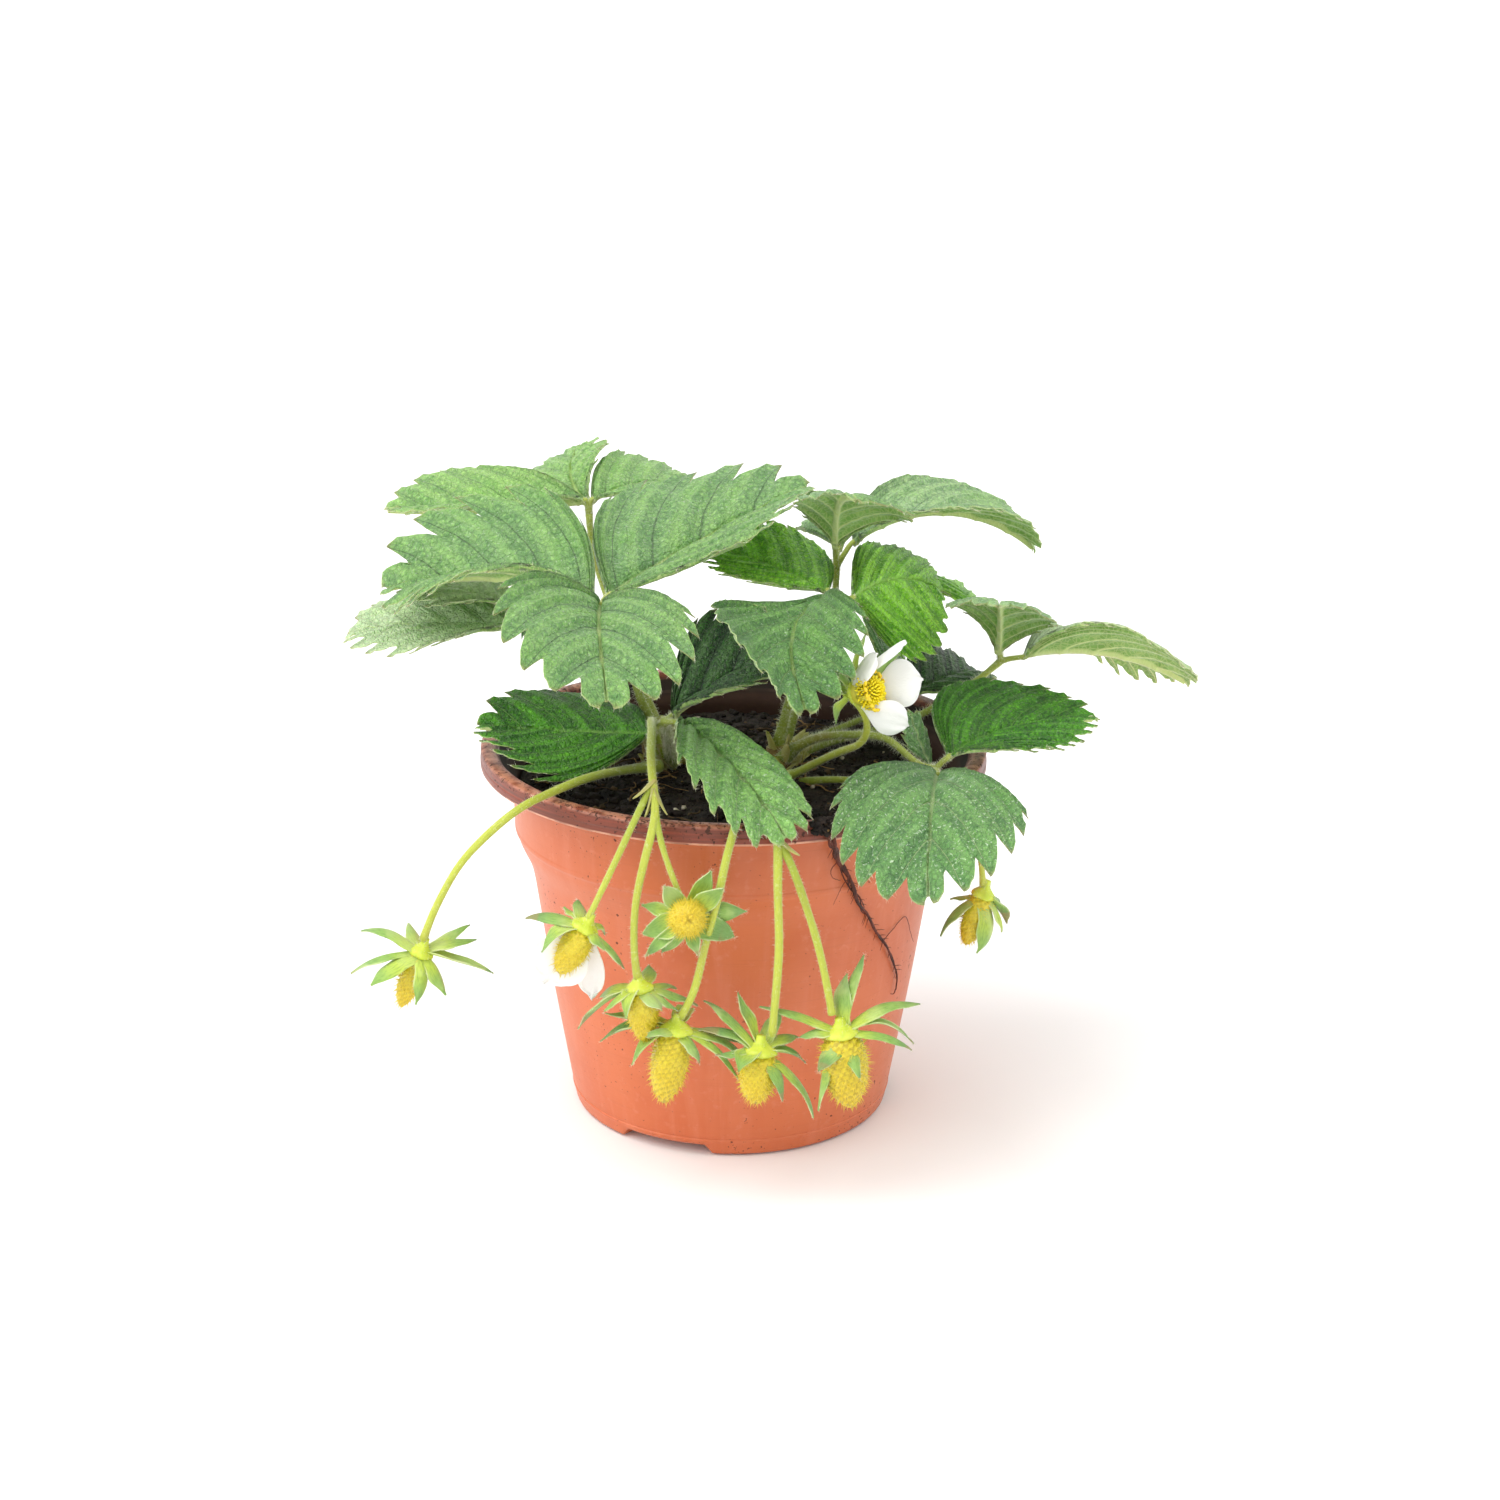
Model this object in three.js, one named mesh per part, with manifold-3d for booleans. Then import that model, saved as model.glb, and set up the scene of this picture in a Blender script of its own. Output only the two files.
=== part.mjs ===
// Strawberry plant growing in a round plastic pot.
// Units are millimetres and +Z is up. The origin is the centre of the pot's base, on the surface it stands on.
// The side that carries the fruit faces -Y.
import * as THREE from 'three';
import { mergeVertices } from 'three/addons/utils/BufferGeometryUtils.js';
import Module from 'manifold-3d';

// ---------------------------------------------------------------- driving dimensions
const GAP = 0.3; // clearance kept between neighbouring pieces
const SEGMENTS = 40; // facets round the pot and its soil
const POT_HEIGHT = 90.25;
const RIM_RADIUS = 60;
const RIM_DROP = 4.65; // height of the rolled rim's outer lip
const RIM_LIP = 1; // thickness of that lip
const COLLAR_RADIUS = 52.6; // outside, just under the rim
const COLLAR_FOOT_RADIUS = 52.1; // outside, where the collar ends
const COLLAR_FOOT_Z = 70;
const SHOULDER_RADIUS = 47.6; // outside, under the stacking shoulder
const SHOULDER_Z = 58;
const FOOT_RADIUS = 38.9; // outside, above the foot ring
const FOOT_RING = [34.5, 38]; // inner and outer radius of the ring it stands on
const WALL = 1;
const FLOOR_TOP = 3.8;
const FLOOR_UNDERSIDE = 2.6;
const CENTRE_PAD_RADIUS = 8; // flat pad under the middle of the floor
const DRAIN_RADIUS = 3.5;
const DRAIN_CIRCLE = 22;
const DRAIN_COUNT = 6;
const NOTCH = { width: 21.5, height: 2.3, angles: [246, 6, 126] }; // drainage notches in the foot ring
const SOIL_EDGE_Z = 80.5;
const SOIL_CENTRE_Z = 84;
const LEAF_THICKNESS = 0.6;
const SEPAL_THICKNESS = 0.5;
const PETAL_THICKNESS = 0.45;
const STEM_SIDES = 5;
const WIDEST = 0.56; // where along its midrib a leaflet is widest


// Leaflet table. Each row holds: name, base colour, numbers of the blade, base point.
// The numbers are the midrib's azimuth and elevation at the base, their change along it, its length,
// the left and right half-widths as fractions of the length, the roll and its change,
// the left fold at base and tip, the right fold at base and tip, and the left and right side curl (degrees).
const LEAFLETS = [
  ["leaf_1_leaflet_1", 0x7fb27c, [132.585,3.995,45.168,-18.45,58.621,0.418,0.482,5.315,-11.846,43.942,6.457,48.781,29.388,-27.658,-2.453], [-32.09,-16.0,129.54]],
  ["leaf_1_leaflet_2", 0x7fb27c, [-90.344,11.375,9.381,-37.092,55.481,0.395,0.454,-4.21,-1.358,37.914,13.784,40.767,14.693,-18.616,-10.236], [-30.39,-18.0,128.71]],
  ["leaf_1_leaflet_3", 0x7fb27c, [57.457,9.881,-37.047,11.798,63.746,0.476,0.408,-0.669,-2.512,31.328,21.77,7.48,8.451,-22.208,17.907], [-29.22,-14.0,129.47]],
  ["leaf_2_leaflet_1", 0x86b884, [188.205,-7.156,-7.406,9.431,49.37,0.35,0.425,-15.708,-2.983,48.788,38.907,24.85,8.464,-21.707,-29.787], [-37.28,46.0,136.91]],
  ["leaf_2_leaflet_2", 0x86b884, [117.031,7.187,-42.77,4.876,37.979,0.401,0.314,-20.152,-3.22,32.361,3.886,49.293,6.041,-13.169,-15.642], [-36.85,47.0,135.9]],
  ["leaf_2_leaflet_3", 0x86b884, [45.453,11.968,-7.005,-36.503,39.539,0.417,0.414,5.736,5.249,18.003,9.879,17.517,6.365,-7.421,-28.084], [-36.04,46.0,136.93]],
  ["leaf_3_leaflet_1", 0x79ad78, [167.068,2.229,6.442,-14.653,44.237,0.416,0.423,-5.131,-2.282,16.262,8.746,19.111,10.273,-20.825,-13.829], [-49.61,5.0,115.96]],
  ["leaf_3_leaflet_2", 0x7cb07a, [160.202,9.085,-4.901,-6.248,31.609,0.409,0.42,1.837,-1.739,21.576,8.836,18.0,10.0,-34.183,-25.0], [-50.96,8.0,120.24]],
  ["leaf_3_leaflet_3", 0x7cb07a, [-53.64,8.207,1.104,-23.102,29.983,0.42,0.419,-2.697,-1.51,18.0,10.0,19.187,11.011,-25.0,-22.916], [-47.57,3.0,116.58]],
  ["leaf_4_leaflet_1", 0x3f9148, [151.259,-10.236,21.848,11.145,43.92,0.451,0.484,-24.787,5.198,-26.871,32.409,3.113,28.929,2.163,-68.604], [-18.64,-22.0,99.4]],
  ["leaf_4_leaflet_2", 0x5f8f63, [21.515,30.455,8.15,-12.931,36.688,0.5,0.412,5.122,4.066,30.734,19.148,29.678,16.426,1.639,-17.677], [-14.28,-22.0,103.33]],
  ["leaf_4_leaflet_3", 0x6aa56a, [-62.358,0.742,7.248,-32.833,49.605,0.268,0.323,0.706,14.679,28.425,18.266,42.393,8.439,-82.534,11.174], [-12.09,-27.0,103.32]],
  ["leaf_5_leaflet_1", 0x4f9a52, [129.803,6.515,11.17,-5.06,36.824,0.413,0.434,-5.853,-14.274,-0.904,22.031,-9.324,31.586,11.439,-29.515], [21.84,-6.0,128.96]],
  ["leaf_5_leaflet_2", 0x4f9a52, [-125.132,-0.176,57.386,-33.934,49.37,0.372,0.421,16.081,-14.091,12.912,18.955,-17.26,28.387,-1.084,59.551], [21.8,-8.0,128.81]],
  ["leaf_5_leaflet_3", 0x4f9a52, [57.046,11.016,-2.934,-44.11,42.777,0.311,0.479,49.736,8.158,-5.345,6.145,-46.922,0.682,-45.123,6.554], [27.17,-7.0,127.62]],
  ["leaf_6_leaflet_1", 0x8cbf86, [-93.189,58.668,18.243,-55.036,38.765,0.461,0.297,-5.405,-6.683,21.671,6.835,20.393,11.309,-39.523,-51.178], [23.59,14.0,134.4]],
  ["leaf_6_leaflet_2", 0x8cbf86, [24.0,32.0,-20.0,-74.0,50.0,0.42,0.32,4.0,-2.0,18.0,12.0,22.0,28.0,-10.0,-5.0], [27.75,18.0,134.12]],
  ["leaf_6_leaflet_3", 0x8cbf86, [79.179,13.288,-1.505,-20.043,35.937,0.415,0.419,-13.107,-5.332,19.269,10.359,27.043,13.929,-24.15,-13.993], [24.49,20.0,132.31]],
  ["leaf_7_leaflet_1", 0x84b87a, [-94.537,61.805,-2.848,-52.983,35.741,0.401,0.381,-12.703,6.843,18.941,3.413,38.487,-1.169,-25.989,-45.096], [64.01,20.0,106.71]],
  ["leaf_7_leaflet_2", 0x84b87a, [20.202,7.284,-11.566,-39.367,45.524,0.469,0.423,-10.488,-5.178,51.809,2.19,57.119,5.657,-48.819,-27.77], [69.63,20.0,105.51]],
  ["leaf_7_leaflet_3", 0x84b87a, [123.001,47.04,-5.763,-55.934,34.409,0.428,0.419,30.13,-12.836,32.917,3.118,-10.036,11.708,-41.621,-50.538], [64.75,26.0,105.4]],
  ["leaf_8_leaflet_1", 0x4c7a55, [45.378,11.226,18.444,-30.174,35.486,0.394,0.398,12.51,4.089,31.946,13.384,23.525,10.647,-5.107,-21.279], [41.87,26.0,93.08]],
  ["leaf_8_leaflet_2", 0x4c7a55, [104.689,33.654,-0.91,-11.355,31.181,0.405,0.398,27.749,17.502,26.063,20.522,15.816,8.806,-2.526,-29.437], [40.37,30.0,90.99]],
  ["leaf_8_leaflet_3", 0x4c7a55, [139.183,15.194,-6.471,-7.495,28.894,0.41,0.412,8.586,3.988,15.78,11.588,11.183,8.918,-21.645,-28.585], [38.21,26.0,91.75]],
  ["leaf_9_leaflet_1", 0x63a062, [60.853,5.375,-53.244,-7.191,45.88,0.486,0.403,4.97,-5.175,23.884,15.088,13.74,18.552,-13.857,-29.823], [49.57,-22.0,94.1]],
  ["leaf_9_leaflet_2", 0x63a062, [-97.198,18.249,4.115,-61.273,54.865,0.402,0.405,3.695,17.566,10.263,22.486,24.134,10.727,-57.666,2.613], [47.1,-27.0,91.61]],
  ["leaf_9_leaflet_3", 0x63a062, [141.0,52.0,-5.446,13.696,14.0,0.423,0.416,8.336,1.943,1.582,13.317,-4.811,12.016,-21.171,-24.848], [46.1,-16.0,89.78]],
];

// Leaf stems: name, the main stem's points up to the fork, radius at foot and fork, and a short stalk to each leaflet.
const LEAF_STEMS = [
  { name: "leaf_1_stem", radii: [1.15,0.8],
    main: [[-16.73,6.0,83.96], [-18.75,2.0,92.37], [-22.08,2.0,99.34], [-24.98,4.0,109.62], [-29.29,-13.0,124.41], [-30.42,-17.5,128.09]],
    twigs: [[[-30.42,-17.5,128.09], [-31.26,-16.75,128.96], [-32.09,-16.0,129.54], [-33.05,-14.98,129.63]], [[-30.42,-17.5,128.09], [-30.4,-19.28,128.95]], [[-30.42,-17.5,128.09], [-29.82,-15.75,128.93], [-29.22,-14.0,129.47], [-28.38,-12.72,129.74]]] },
  { name: "leaf_2_stem", radii: [1.1,0.75],
    main: [[-16.05,16.0,81.56], [-21.28,26.0,91.59], [-30.6,38.0,111.02], [-35.88,46.0,125.44], [-36.56,46.0,133.61]],
    twigs: [[[-36.56,46.0,133.61], [-36.92,46.0,135.41], [-37.28,46.0,136.91], [-38.38,45.84,136.78]], [[-36.56,46.0,133.61], [-36.7,46.5,134.91], [-36.85,47.0,135.9], [-37.19,47.69,136.0]], [[-36.56,46.0,133.61], [-36.3,46.0,135.42], [-36.04,46.0,136.93], [-35.47,46.58,137.09]]] },
  { name: "leaf_3_stem", radii: [1.1,0.75],
    main: [[-18.18,14.0,81.97], [-23.72,13.0,90.17], [-32.25,11.0,102.37], [-41.08,8.0,111.94], [-47.09,6.0,115.45]],
    twigs: [[[-47.09,6.0,115.45], [-48.35,5.5,115.85], [-49.61,5.0,115.96], [-50.55,5.21,116.0]], [[-47.09,6.0,115.45], [-49.02,7.0,117.99], [-50.96,8.0,120.24], [-51.5,8.2,120.34]], [[-47.09,6.0,115.45], [-47.33,4.5,116.16], [-47.57,3.0,116.58], [-47.25,2.57,116.65]]] },
  { name: "leaf_4_stem", radii: [1.2,0.95],
    main: [[-14.85,-1.0,84.88], [-14.84,-10.0,91.97], [-15.28,-19.0,98.68], [-15.57,-25.0,102.85]],
    twigs: [[[-15.57,-25.0,102.85], [-17.1,-23.5,101.28], [-18.64,-22.0,99.4], [-19.47,-21.55,99.24]], [[-15.57,-25.0,102.85], [-14.92,-23.5,103.24], [-14.28,-22.0,103.33], [-13.69,-21.76,103.7]], [[-15.57,-25.0,102.85], [-13.83,-26.0,103.24], [-12.09,-27.0,103.32], [-11.56,-28.0,103.32]]] },
  { name: "leaf_5_stem", radii: [1.15,0.8],
    main: [[9.94,4.0,84.45], [12.83,1.0,98.81], [17.71,-3.0,114.94], [22.79,-6.5,126.95]],
    twigs: [[[22.79,-6.5,126.95], [22.32,-6.25,128.1], [21.84,-6.0,128.96], [21.36,-5.43,129.04]], [[22.79,-6.5,126.95], [22.3,-7.25,128.03], [21.8,-8.0,128.81], [21.17,-8.93,128.79]], [[22.79,-6.5,126.95], [24.98,-6.75,127.43], [27.17,-7.0,127.62], [27.66,-6.24,127.79]]] },
  { name: "leaf_6_stem", radii: [1.1,0.75],
    main: [[11.44,12.0,83.24], [15.88,14.0,95.89], [20.99,16.0,109.22], [23.88,16.0,121.75], [23.99,16.0,128.69]],
    twigs: [[[23.99,16.0,128.69], [23.79,15.0,131.7], [23.59,14.0,134.4], [23.57,13.57,135.08]], [[23.99,16.0,128.69], [25.87,17.0,131.55], [27.75,18.0,134.12], [28.64,18.39,134.7]], [[23.99,16.0,128.69], [24.24,18.0,130.65], [24.49,20.0,132.31], [24.62,20.69,132.47]]] },
  { name: "leaf_7_stem", radii: [1.1,0.75],
    main: [[13.36,9.0,83.02], [20.89,13.0,84.8], [31.85,16.0,86.99], [43.34,19.0,89.71], [50.15,20.5,93.15], [57.86,21.5,98.03], [64.66,21.0,104.13]],
    twigs: [[[64.66,21.0,104.13], [64.33,20.5,105.57], [64.01,20.0,106.71], [63.98,19.66,107.34]], [[64.66,21.0,104.13], [67.14,20.5,104.97], [69.63,20.0,105.51], [70.56,20.34,105.63]], [[64.66,21.0,104.13], [64.71,23.5,104.91], [64.75,26.0,105.4], [64.5,26.39,105.88]]] },
  { name: "leaf_8_stem", radii: [1.0,0.7],
    main: [[12.21,16.0,82.4], [19.8,20.0,84.22], [30.9,25.0,87.33], [39.8,28.0,90.86]],
    twigs: [[[39.8,28.0,90.86], [40.83,27.0,92.12], [41.87,26.0,93.08], [42.35,26.49,93.21]], [[39.8,28.0,90.86], [40.08,29.0,91.07], [40.37,30.0,90.99], [40.25,30.46,91.31]], [[39.8,28.0,90.86], [39.0,27.0,91.45], [38.21,26.0,91.75], [37.84,26.32,91.88]]] },
  { name: "leaf_9_stem", radii: [1.15,0.85],
    main: [[11.58,0.0,85.34], [16.44,-4.0,90.78], [23.15,-8.0,94.2], [29.56,-12.0,95.86], [34.81,-15.0,96.19], [38.67,-18.0,94.56], [42.82,-20.0,91.62], [46.67,-22.0,90.89]],
    twigs: [[[46.67,-22.0,90.89], [48.12,-22.0,92.65], [49.57,-22.0,94.1], [50.07,-21.12,94.19]], [[46.67,-22.0,90.89], [46.89,-24.5,91.4], [47.1,-27.0,91.61], [46.95,-28.22,92.0]], [[46.67,-22.0,90.89], [46.38,-19.0,90.49], [46.1,-16.0,89.78], [46.07,-15.98,89.83]]] },
];

// Fruit and flower stalks: name and branches, each with its points and its radius at both ends.
const STALKS = [
  { name: "truss_left_stalk", branches: [
    [[[-17.64,-3.0,85.54], [-18.32,-4.0,90.64], [-18.86,-9.0,96.28], [-18.89,-18.0,100.62], [-18.34,-32.0,103.23], [-18.0,-47.0,103.11], [-17.15,-59.0,100.08], [-16.58,-63.0,94.81], [-18.08,-64.0,87.04], [-19.83,-64.0,79.31], [-20.94,-64.0,72.23], [-20.97,-64.0,60.34], [-20.32,-64.0,55.32]], [1.15,0.8]],
    [[[-17.15,-59.0,100.08], [-19.25,-61.5,96.32], [-21.81,-63.0,91.05], [-24.85,-64.0,84.4], [-28.61,-64.0,75.92], [-31.28,-64.0,69.98]], [0.8,0.7]],
    [[[-16.88,-60.5,98.54], [-16.13,-63.5,92.92], [-15.01,-64.5,87.73], [-12.59,-65.0,80.25], [-10.17,-65.0,73.94]], [0.75,0.65]],
  ] },
  { name: "fruit_1_stalk", branches: [
    [[[-17.71,-8.0,86.27], [-21.69,-15.0,88.17], [-29.55,-30.0,91.85], [-34.56,-38.0,92.93], [-40.64,-45.0,92.49], [-47.13,-51.0,90.8], [-54.96,-54.0,84.73], [-60.31,-55.0,78.66], [-63.89,-56.0,72.58], [-66.47,-56.0,67.05], [-68.62,-56.0,61.25]], [1.1,0.8]],
  ] },
  { name: "fruit_5_stalk", branches: [
    [[[4.49,-20.0,84.8], [2.68,-36.0,89.04], [1.4,-50.0,91.69], [0.83,-62.0,91.4], [-0.84,-64.5,85.33], [-2.52,-65.0,76.85], [-5.73,-65.0,63.09], [-8.12,-64.5,52.79], [-11.0,-64.0,46.5]], [1.0,0.85]],
  ] },
  { name: "truss_middle_stalk", branches: [
    [[[9.2,-10.0,82.54], [9.77,-28.0,86.5], [10.09,-46.0,90.34], [10.22,-60.0,91.7], [10.25,-65.0,87.51], [10.4,-66.0,75.75], [10.76,-66.0,64.89], [10.24,-66.0,53.9], [9.5,-65.0,43.06]], [1.15,0.9]],
    [[[10.23,-64.0,89.0], [12.45,-65.5,85.4], [16.08,-66.0,75.81], [18.86,-66.0,66.88], [21.0,-66.0,57.85], [22.73,-65.5,48.52]], [0.95,0.85]],
  ] },
  { name: "fruit_8_stalk", branches: [
    [[[14.91,-6.0,81.41], [19.2,-10.4,83.89], [26.4,-16.3,86.2], [35.3,-20.8,86.81], [41.49,-24.0,86.89], [45.2,-26.8,88.2], [46.8,-28.6,90.41], [49.3,-31.4,91.69], [51.41,-33.6,91.19], [52.81,-34.8,89.01], [54.21,-34.4,84.0], [56.2,-31.5,77.0], [57.6,-28.8,70.5], [58.31,-27.0,64.31]], [0.85,0.7]],
  ] },
  { name: "flower_stalk", branches: [
    [[[12.48,-9.0,84.22], [15.66,-14.0,87.5], [20.14,-20.0,92.1], [25.64,-27.0,97.24], [28.61,-32.0,100.42], [30.02,-35.0,103.83], [29.99,-37.0,107.34], [28.65,-38.0,110.72], [26.6,-37.5,113.12]], [1.0,0.75]],
  ] },
];

// Unripe fruit: name, centre of the calyx, far end of the berry, width of the berry and the sepal tips.
const FRUITS = [
  { name: "fruit_1", calyx: [-68.9,-56.0,58.84], end: [-73.84,-57.0,45.84], width: 5.6,
    sepals: [[-81.96,-54.0,63.89], [-84.73,-59.0,55.33], [-79.54,-62.0,52.32], [-69.62,-64.0,49.2], [-63.24,-61.0,50.14], [-53.6,-56.0,51.98], [-57.17,-52.0,60.22], [-58.65,-50.0,62.53], [-73.56,-48.0,60.33]] },
  { name: "fruit_2", calyx: [-31.73,-64.0,68.55], end: [-37.5,-65.0,57.71], width: 7.0,
    sepals: [[-45.15,-61.0,68.6], [-37.38,-58.0,69.15], [-41.61,-68.0,65.35], [-27.6,-68.0,64.33], [-23.19,-64.0,58.4], [-27.37,-59.0,65.37], [-34.61,-56.0,70.05]] },
  { name: "fruit_3", calyx: [-9.49,-65.5,71.31], end: [-9.18,-69.5,72.23], width: 8.0,
    sepals: [[-14.48,-67.5,79.57], [-19.61,-64.5,73.39], [-19.1,-66.5,67.59], [-18.38,-68.5,63.22], [-14.9,-67.5,63.32], [-6.96,-69.5,64.01], [0.85,-65.5,66.7], [3.65,-64.5,72.48], [-1.63,-67.5,79.02], [-4.31,-64.5,81.79]] },
  { name: "fruit_4", calyx: [-20.1,-64.0,54.36], end: [-18.53,-65.0,41.52], width: 7.0,
    sepals: [[-34.2,-63.0,43.84], [-27.41,-69.0,49.97], [-28.96,-60.0,50.11], [-23.61,-70.0,51.42], [-15.03,-70.0,50.56], [-11.81,-67.0,49.51], [-7.03,-63.0,49.49], [-12.03,-59.0,51.08], [-17.94,-56.0,54.58]] },
  { name: "fruit_5", calyx: [-11.88,-64.0,44.55], end: [-14.73,-65.0,26.62], width: 8.6,
    sepals: [[-28.86,-63.0,41.47], [-27.88,-60.0,44.52], [-21.97,-68.0,37.5], [-17.86,-71.0,44.24], [-6.41,-69.0,38.14], [1.59,-66.0,32.2], [4.0,-62.0,35.28], [2.83,-60.0,39.01], [-8.95,-56.0,46.15]] },
  { name: "fruit_6", calyx: [6.87,-65.0,39.87], end: [5.89,-66.5,27.33], width: 8.6,
    sepals: [[-5.27,-62.0,50.29], [-0.17,-60.0,49.71], [-6.54,-64.0,44.37], [-2.87,-69.0,38.67], [2.03,-72.0,37.69], [12.76,-70.0,29.82], [18.69,-67.0,23.78], [17.18,-64.0,36.6], [15.14,-60.0,41.61], [11.29,-58.0,45.56]] },
  { name: "fruit_7", calyx: [24.8,-65.5,44.68], end: [27.15,-66.5,26.6], width: 10.6,
    sepals: [[26.0,-61.5,56.47], [30.87,-59.5,59.77], [41.4,-62.5,51.77], [41.04,-65.5,43.66], [40.49,-68.5,42.1], [6.76,-63.5,49.39], [15.7,-66.5,43.57], [19.46,-70.5,27.45], [20.58,-72.5,36.93], [28.98,-72.5,36.31]] },
  { name: "fruit_8", calyx: [58.62,-27.0,62.76], end: [54.75,-28.5,50.54], width: 5.8,
    sepals: [[48.12,-29.0,53.19], [51.51,-24.0,58.23], [58.04,-32.0,49.53], [63.21,-29.0,53.86], [63.99,-25.0,53.75], [62.86,-22.0,58.82]] },
];

// Open flower: back of the calyx, point the flower faces, middle of the yellow centre, sepal tips.
const FLOWER = { calyx: [26.13,-37.5,114.05], facing: [33.53,-41.0,116.66], centre: [30.28,-39.5,115.44],
  sepals: [[21.44,-36.5,115.09], [22.64,-39.0,107.92], [24.94,-35.5,120.44], [28.98,-36.5,128.23], [37.22,-34.5,122.37], [37.95,-35.0,110.79]] };

// Petals: name, claw, tip, width, direction across the petal, cupping depth.
const PETALS = [
  ["flower_petal_1", [26.5,-39.0,115.71], [31.83,-40.0,124.46], 8.4, [0.337,-0.939,0.068], 1.3],
  ["flower_petal_2", [28.31,-36.8,117.61], [38.31,-37.5,126.55], 8.6, [0.122,-0.984,0.126], 1.2],
  ["flower_petal_3", [31.09,-35.8,114.74], [42.34,-37.5,117.75], 10.8, [0.112,-0.434,-0.894], 1.2],
  ["flower_petal_4", [28.76,-40.5,112.24], [39.24,-42.5,108.33], 8.2, [0.443,-0.087,-0.892], 1.1],
];
// The two petals still hanging on one young fruit.
const HANGING_PETALS = [
  [[-32.15,-64.5,67.81], [-41.21,-66.0,55.22], 13.0, [0.799,0.096,0.593], 1.6],
  [[-31.33,-63.5,67.17], [-30.62,-62.5,49.97], 6.5, [0.98,-0.186,0.075], 0.8],
];

// Root that hangs over the rim at the front right, and the crumb of soil it grows through.
const ROOT = [[21.03,-56.15,91.34], [22.21,-57.03,86.04], [24.12,-47.97,78.35], [26.04,-46.77,73.83], [27.99,-45.02,69.29], [30.85,-38.79,61.45], [34.44,-33.36,54.08], [36.57,-29.64,48.79], [38.52,-25.4,43.23], [39.06,-23.35,39.3], [38.94,-22.53,36.13]];
const ROOT_CRUMB = [[20.82,-56.89,89.74],4.2];

// Crown: short thick stem bases from which the leaves and stalks grow. Centre and half-sizes of each lump.
const CROWN = [
  [[-16.5, 5.5, 86], [5.6, 5.4, 8.5]],
  [[-17.5, 1, 83.5], [4.4, 4.2, 4.5]],
  [[-2, 5.5, 83.6], [15, 3.8, 3.2]],
  [[12, 4, 84], [5.2, 5, 5.5]],
  [[9, -1.5, 83.5], [5, 4.2, 3.4]],
];

const COLOURS = {
  pot: 0xc96f4a, soil: 0x2a211c, crown: 0x8b8a3f, stem: 0xa5b659, stalk: 0xc3cf5c,
  berry: 0xd9cf2e, sepal: 0x9cc474, flower: 0xf2cf1c, petal: 0xf7f7f2, root: 0x46241b,
};


// ---------------------------------------------------------------- helpers
const wasm = await Module();
wasm.setup();
const V = (a) => new THREE.Vector3(a[0], a[1], a[2]);
const rad = THREE.MathUtils.degToRad;

// A three.js geometry as a solid: shared vertices merged, empty triangles dropped, faces out.
function solid(geometry) {
  const g = geometry.clone();
  for (const name of Object.keys(g.attributes)) if (name !== 'position') g.deleteAttribute(name);
  const merged = mergeVertices(g, 1e-4);
  const p = merged.attributes.position.array;
  const tri = [];
  let volume = 0;
  for (let i = 0; i < merged.index.count; i += 3) {
    const [a, b, c] = [0, 1, 2].map((k) => merged.index.getX(i + k));
    if (a === b || b === c || c === a) continue;
    tri.push(a, b, c);
    const [x, y, z] = [a, b, c].map((k) => new THREE.Vector3(p[3 * k], p[3 * k + 1], p[3 * k + 2]));
    volume += x.dot(y.cross(z));
  }
  if (volume < 0) for (let i = 0; i < tri.length; i += 3) [tri[i + 1], tri[i + 2]] = [tri[i + 2], tri[i + 1]];
  return new wasm.Manifold(new wasm.Mesh({ numProp: 3, vertProperties: new Float32Array(p), triVerts: new Uint32Array(tri) }));
}

function geometryOf(manifold) {
  const m = manifold.getMesh();
  const xyz = new Float32Array(m.numVert * 3);
  for (let i = 0; i < m.numVert; i++) for (let k = 0; k < 3; k++) xyz[3 * i + k] = m.vertProperties[m.numProp * i + k];
  const g = new THREE.BufferGeometry();
  g.setAttribute('position', new THREE.BufferAttribute(xyz, 3));
  g.setIndex(new THREE.BufferAttribute(new Uint32Array(m.triVerts), 1));
  g.computeVertexNormals();
  return g;
}

const join = (list) => list.reduce((a, b) => a.add(b));

// Moves every vertex of a geometry to the point that map(x, y, z) gives.
function bend(geometry, map) {
  const p = geometry.attributes.position;
  for (let i = 0; i < p.count; i++) {
    const q = map(p.getX(i), p.getY(i), p.getZ(i));
    p.setXYZ(i, q.x, q.y, q.z);
  }
  return geometry;
}

const lathe = (profile, segments = SEGMENTS) => {
  const g = new THREE.LatheGeometry(profile.map(([r, z]) => new THREE.Vector2(r, z)), segments);
  return g.rotateX(Math.PI / 2);
};

const section = (r) => {
  const s = new THREE.Shape();
  for (let k = 0; k < STEM_SIDES; k++) {
    const a = (2 * Math.PI * k) / STEM_SIDES;
    if (k) s.lineTo(r * Math.cos(a), r * Math.sin(a));
    else s.moveTo(r, 0);
  }
  s.closePath();
  return s;
};

// A five-sided stem of constant radius along a smooth curve through the points.
function stem(points, r, steps) {
  const curve = new THREE.CatmullRomCurve3(points.map(V), false, 'centripetal');
  return solid(new THREE.ExtrudeGeometry(section(r), { steps, bevelEnabled: false, extrudePath: curve }));
}

function pathLength(points) {
  return new THREE.CatmullRomCurve3(points.map(V), false, 'centripetal').getLength();
}

// An ellipsoid with its own half-sizes, its third axis along a direction.
function ellipsoid(centre, halfSizes, axis = new THREE.Vector3(0, 0, 1), wide = 8, high = 6) {
  const g = new THREE.SphereGeometry(1, wide, high).rotateX(Math.PI / 2).scale(...halfSizes);
  const turn = new THREE.Quaternion().setFromUnitVectors(new THREE.Vector3(0, 0, 1), axis.clone().normalize());
  return solid(g.applyQuaternion(turn).translate(centre.x, centre.y, centre.z));
}

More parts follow.
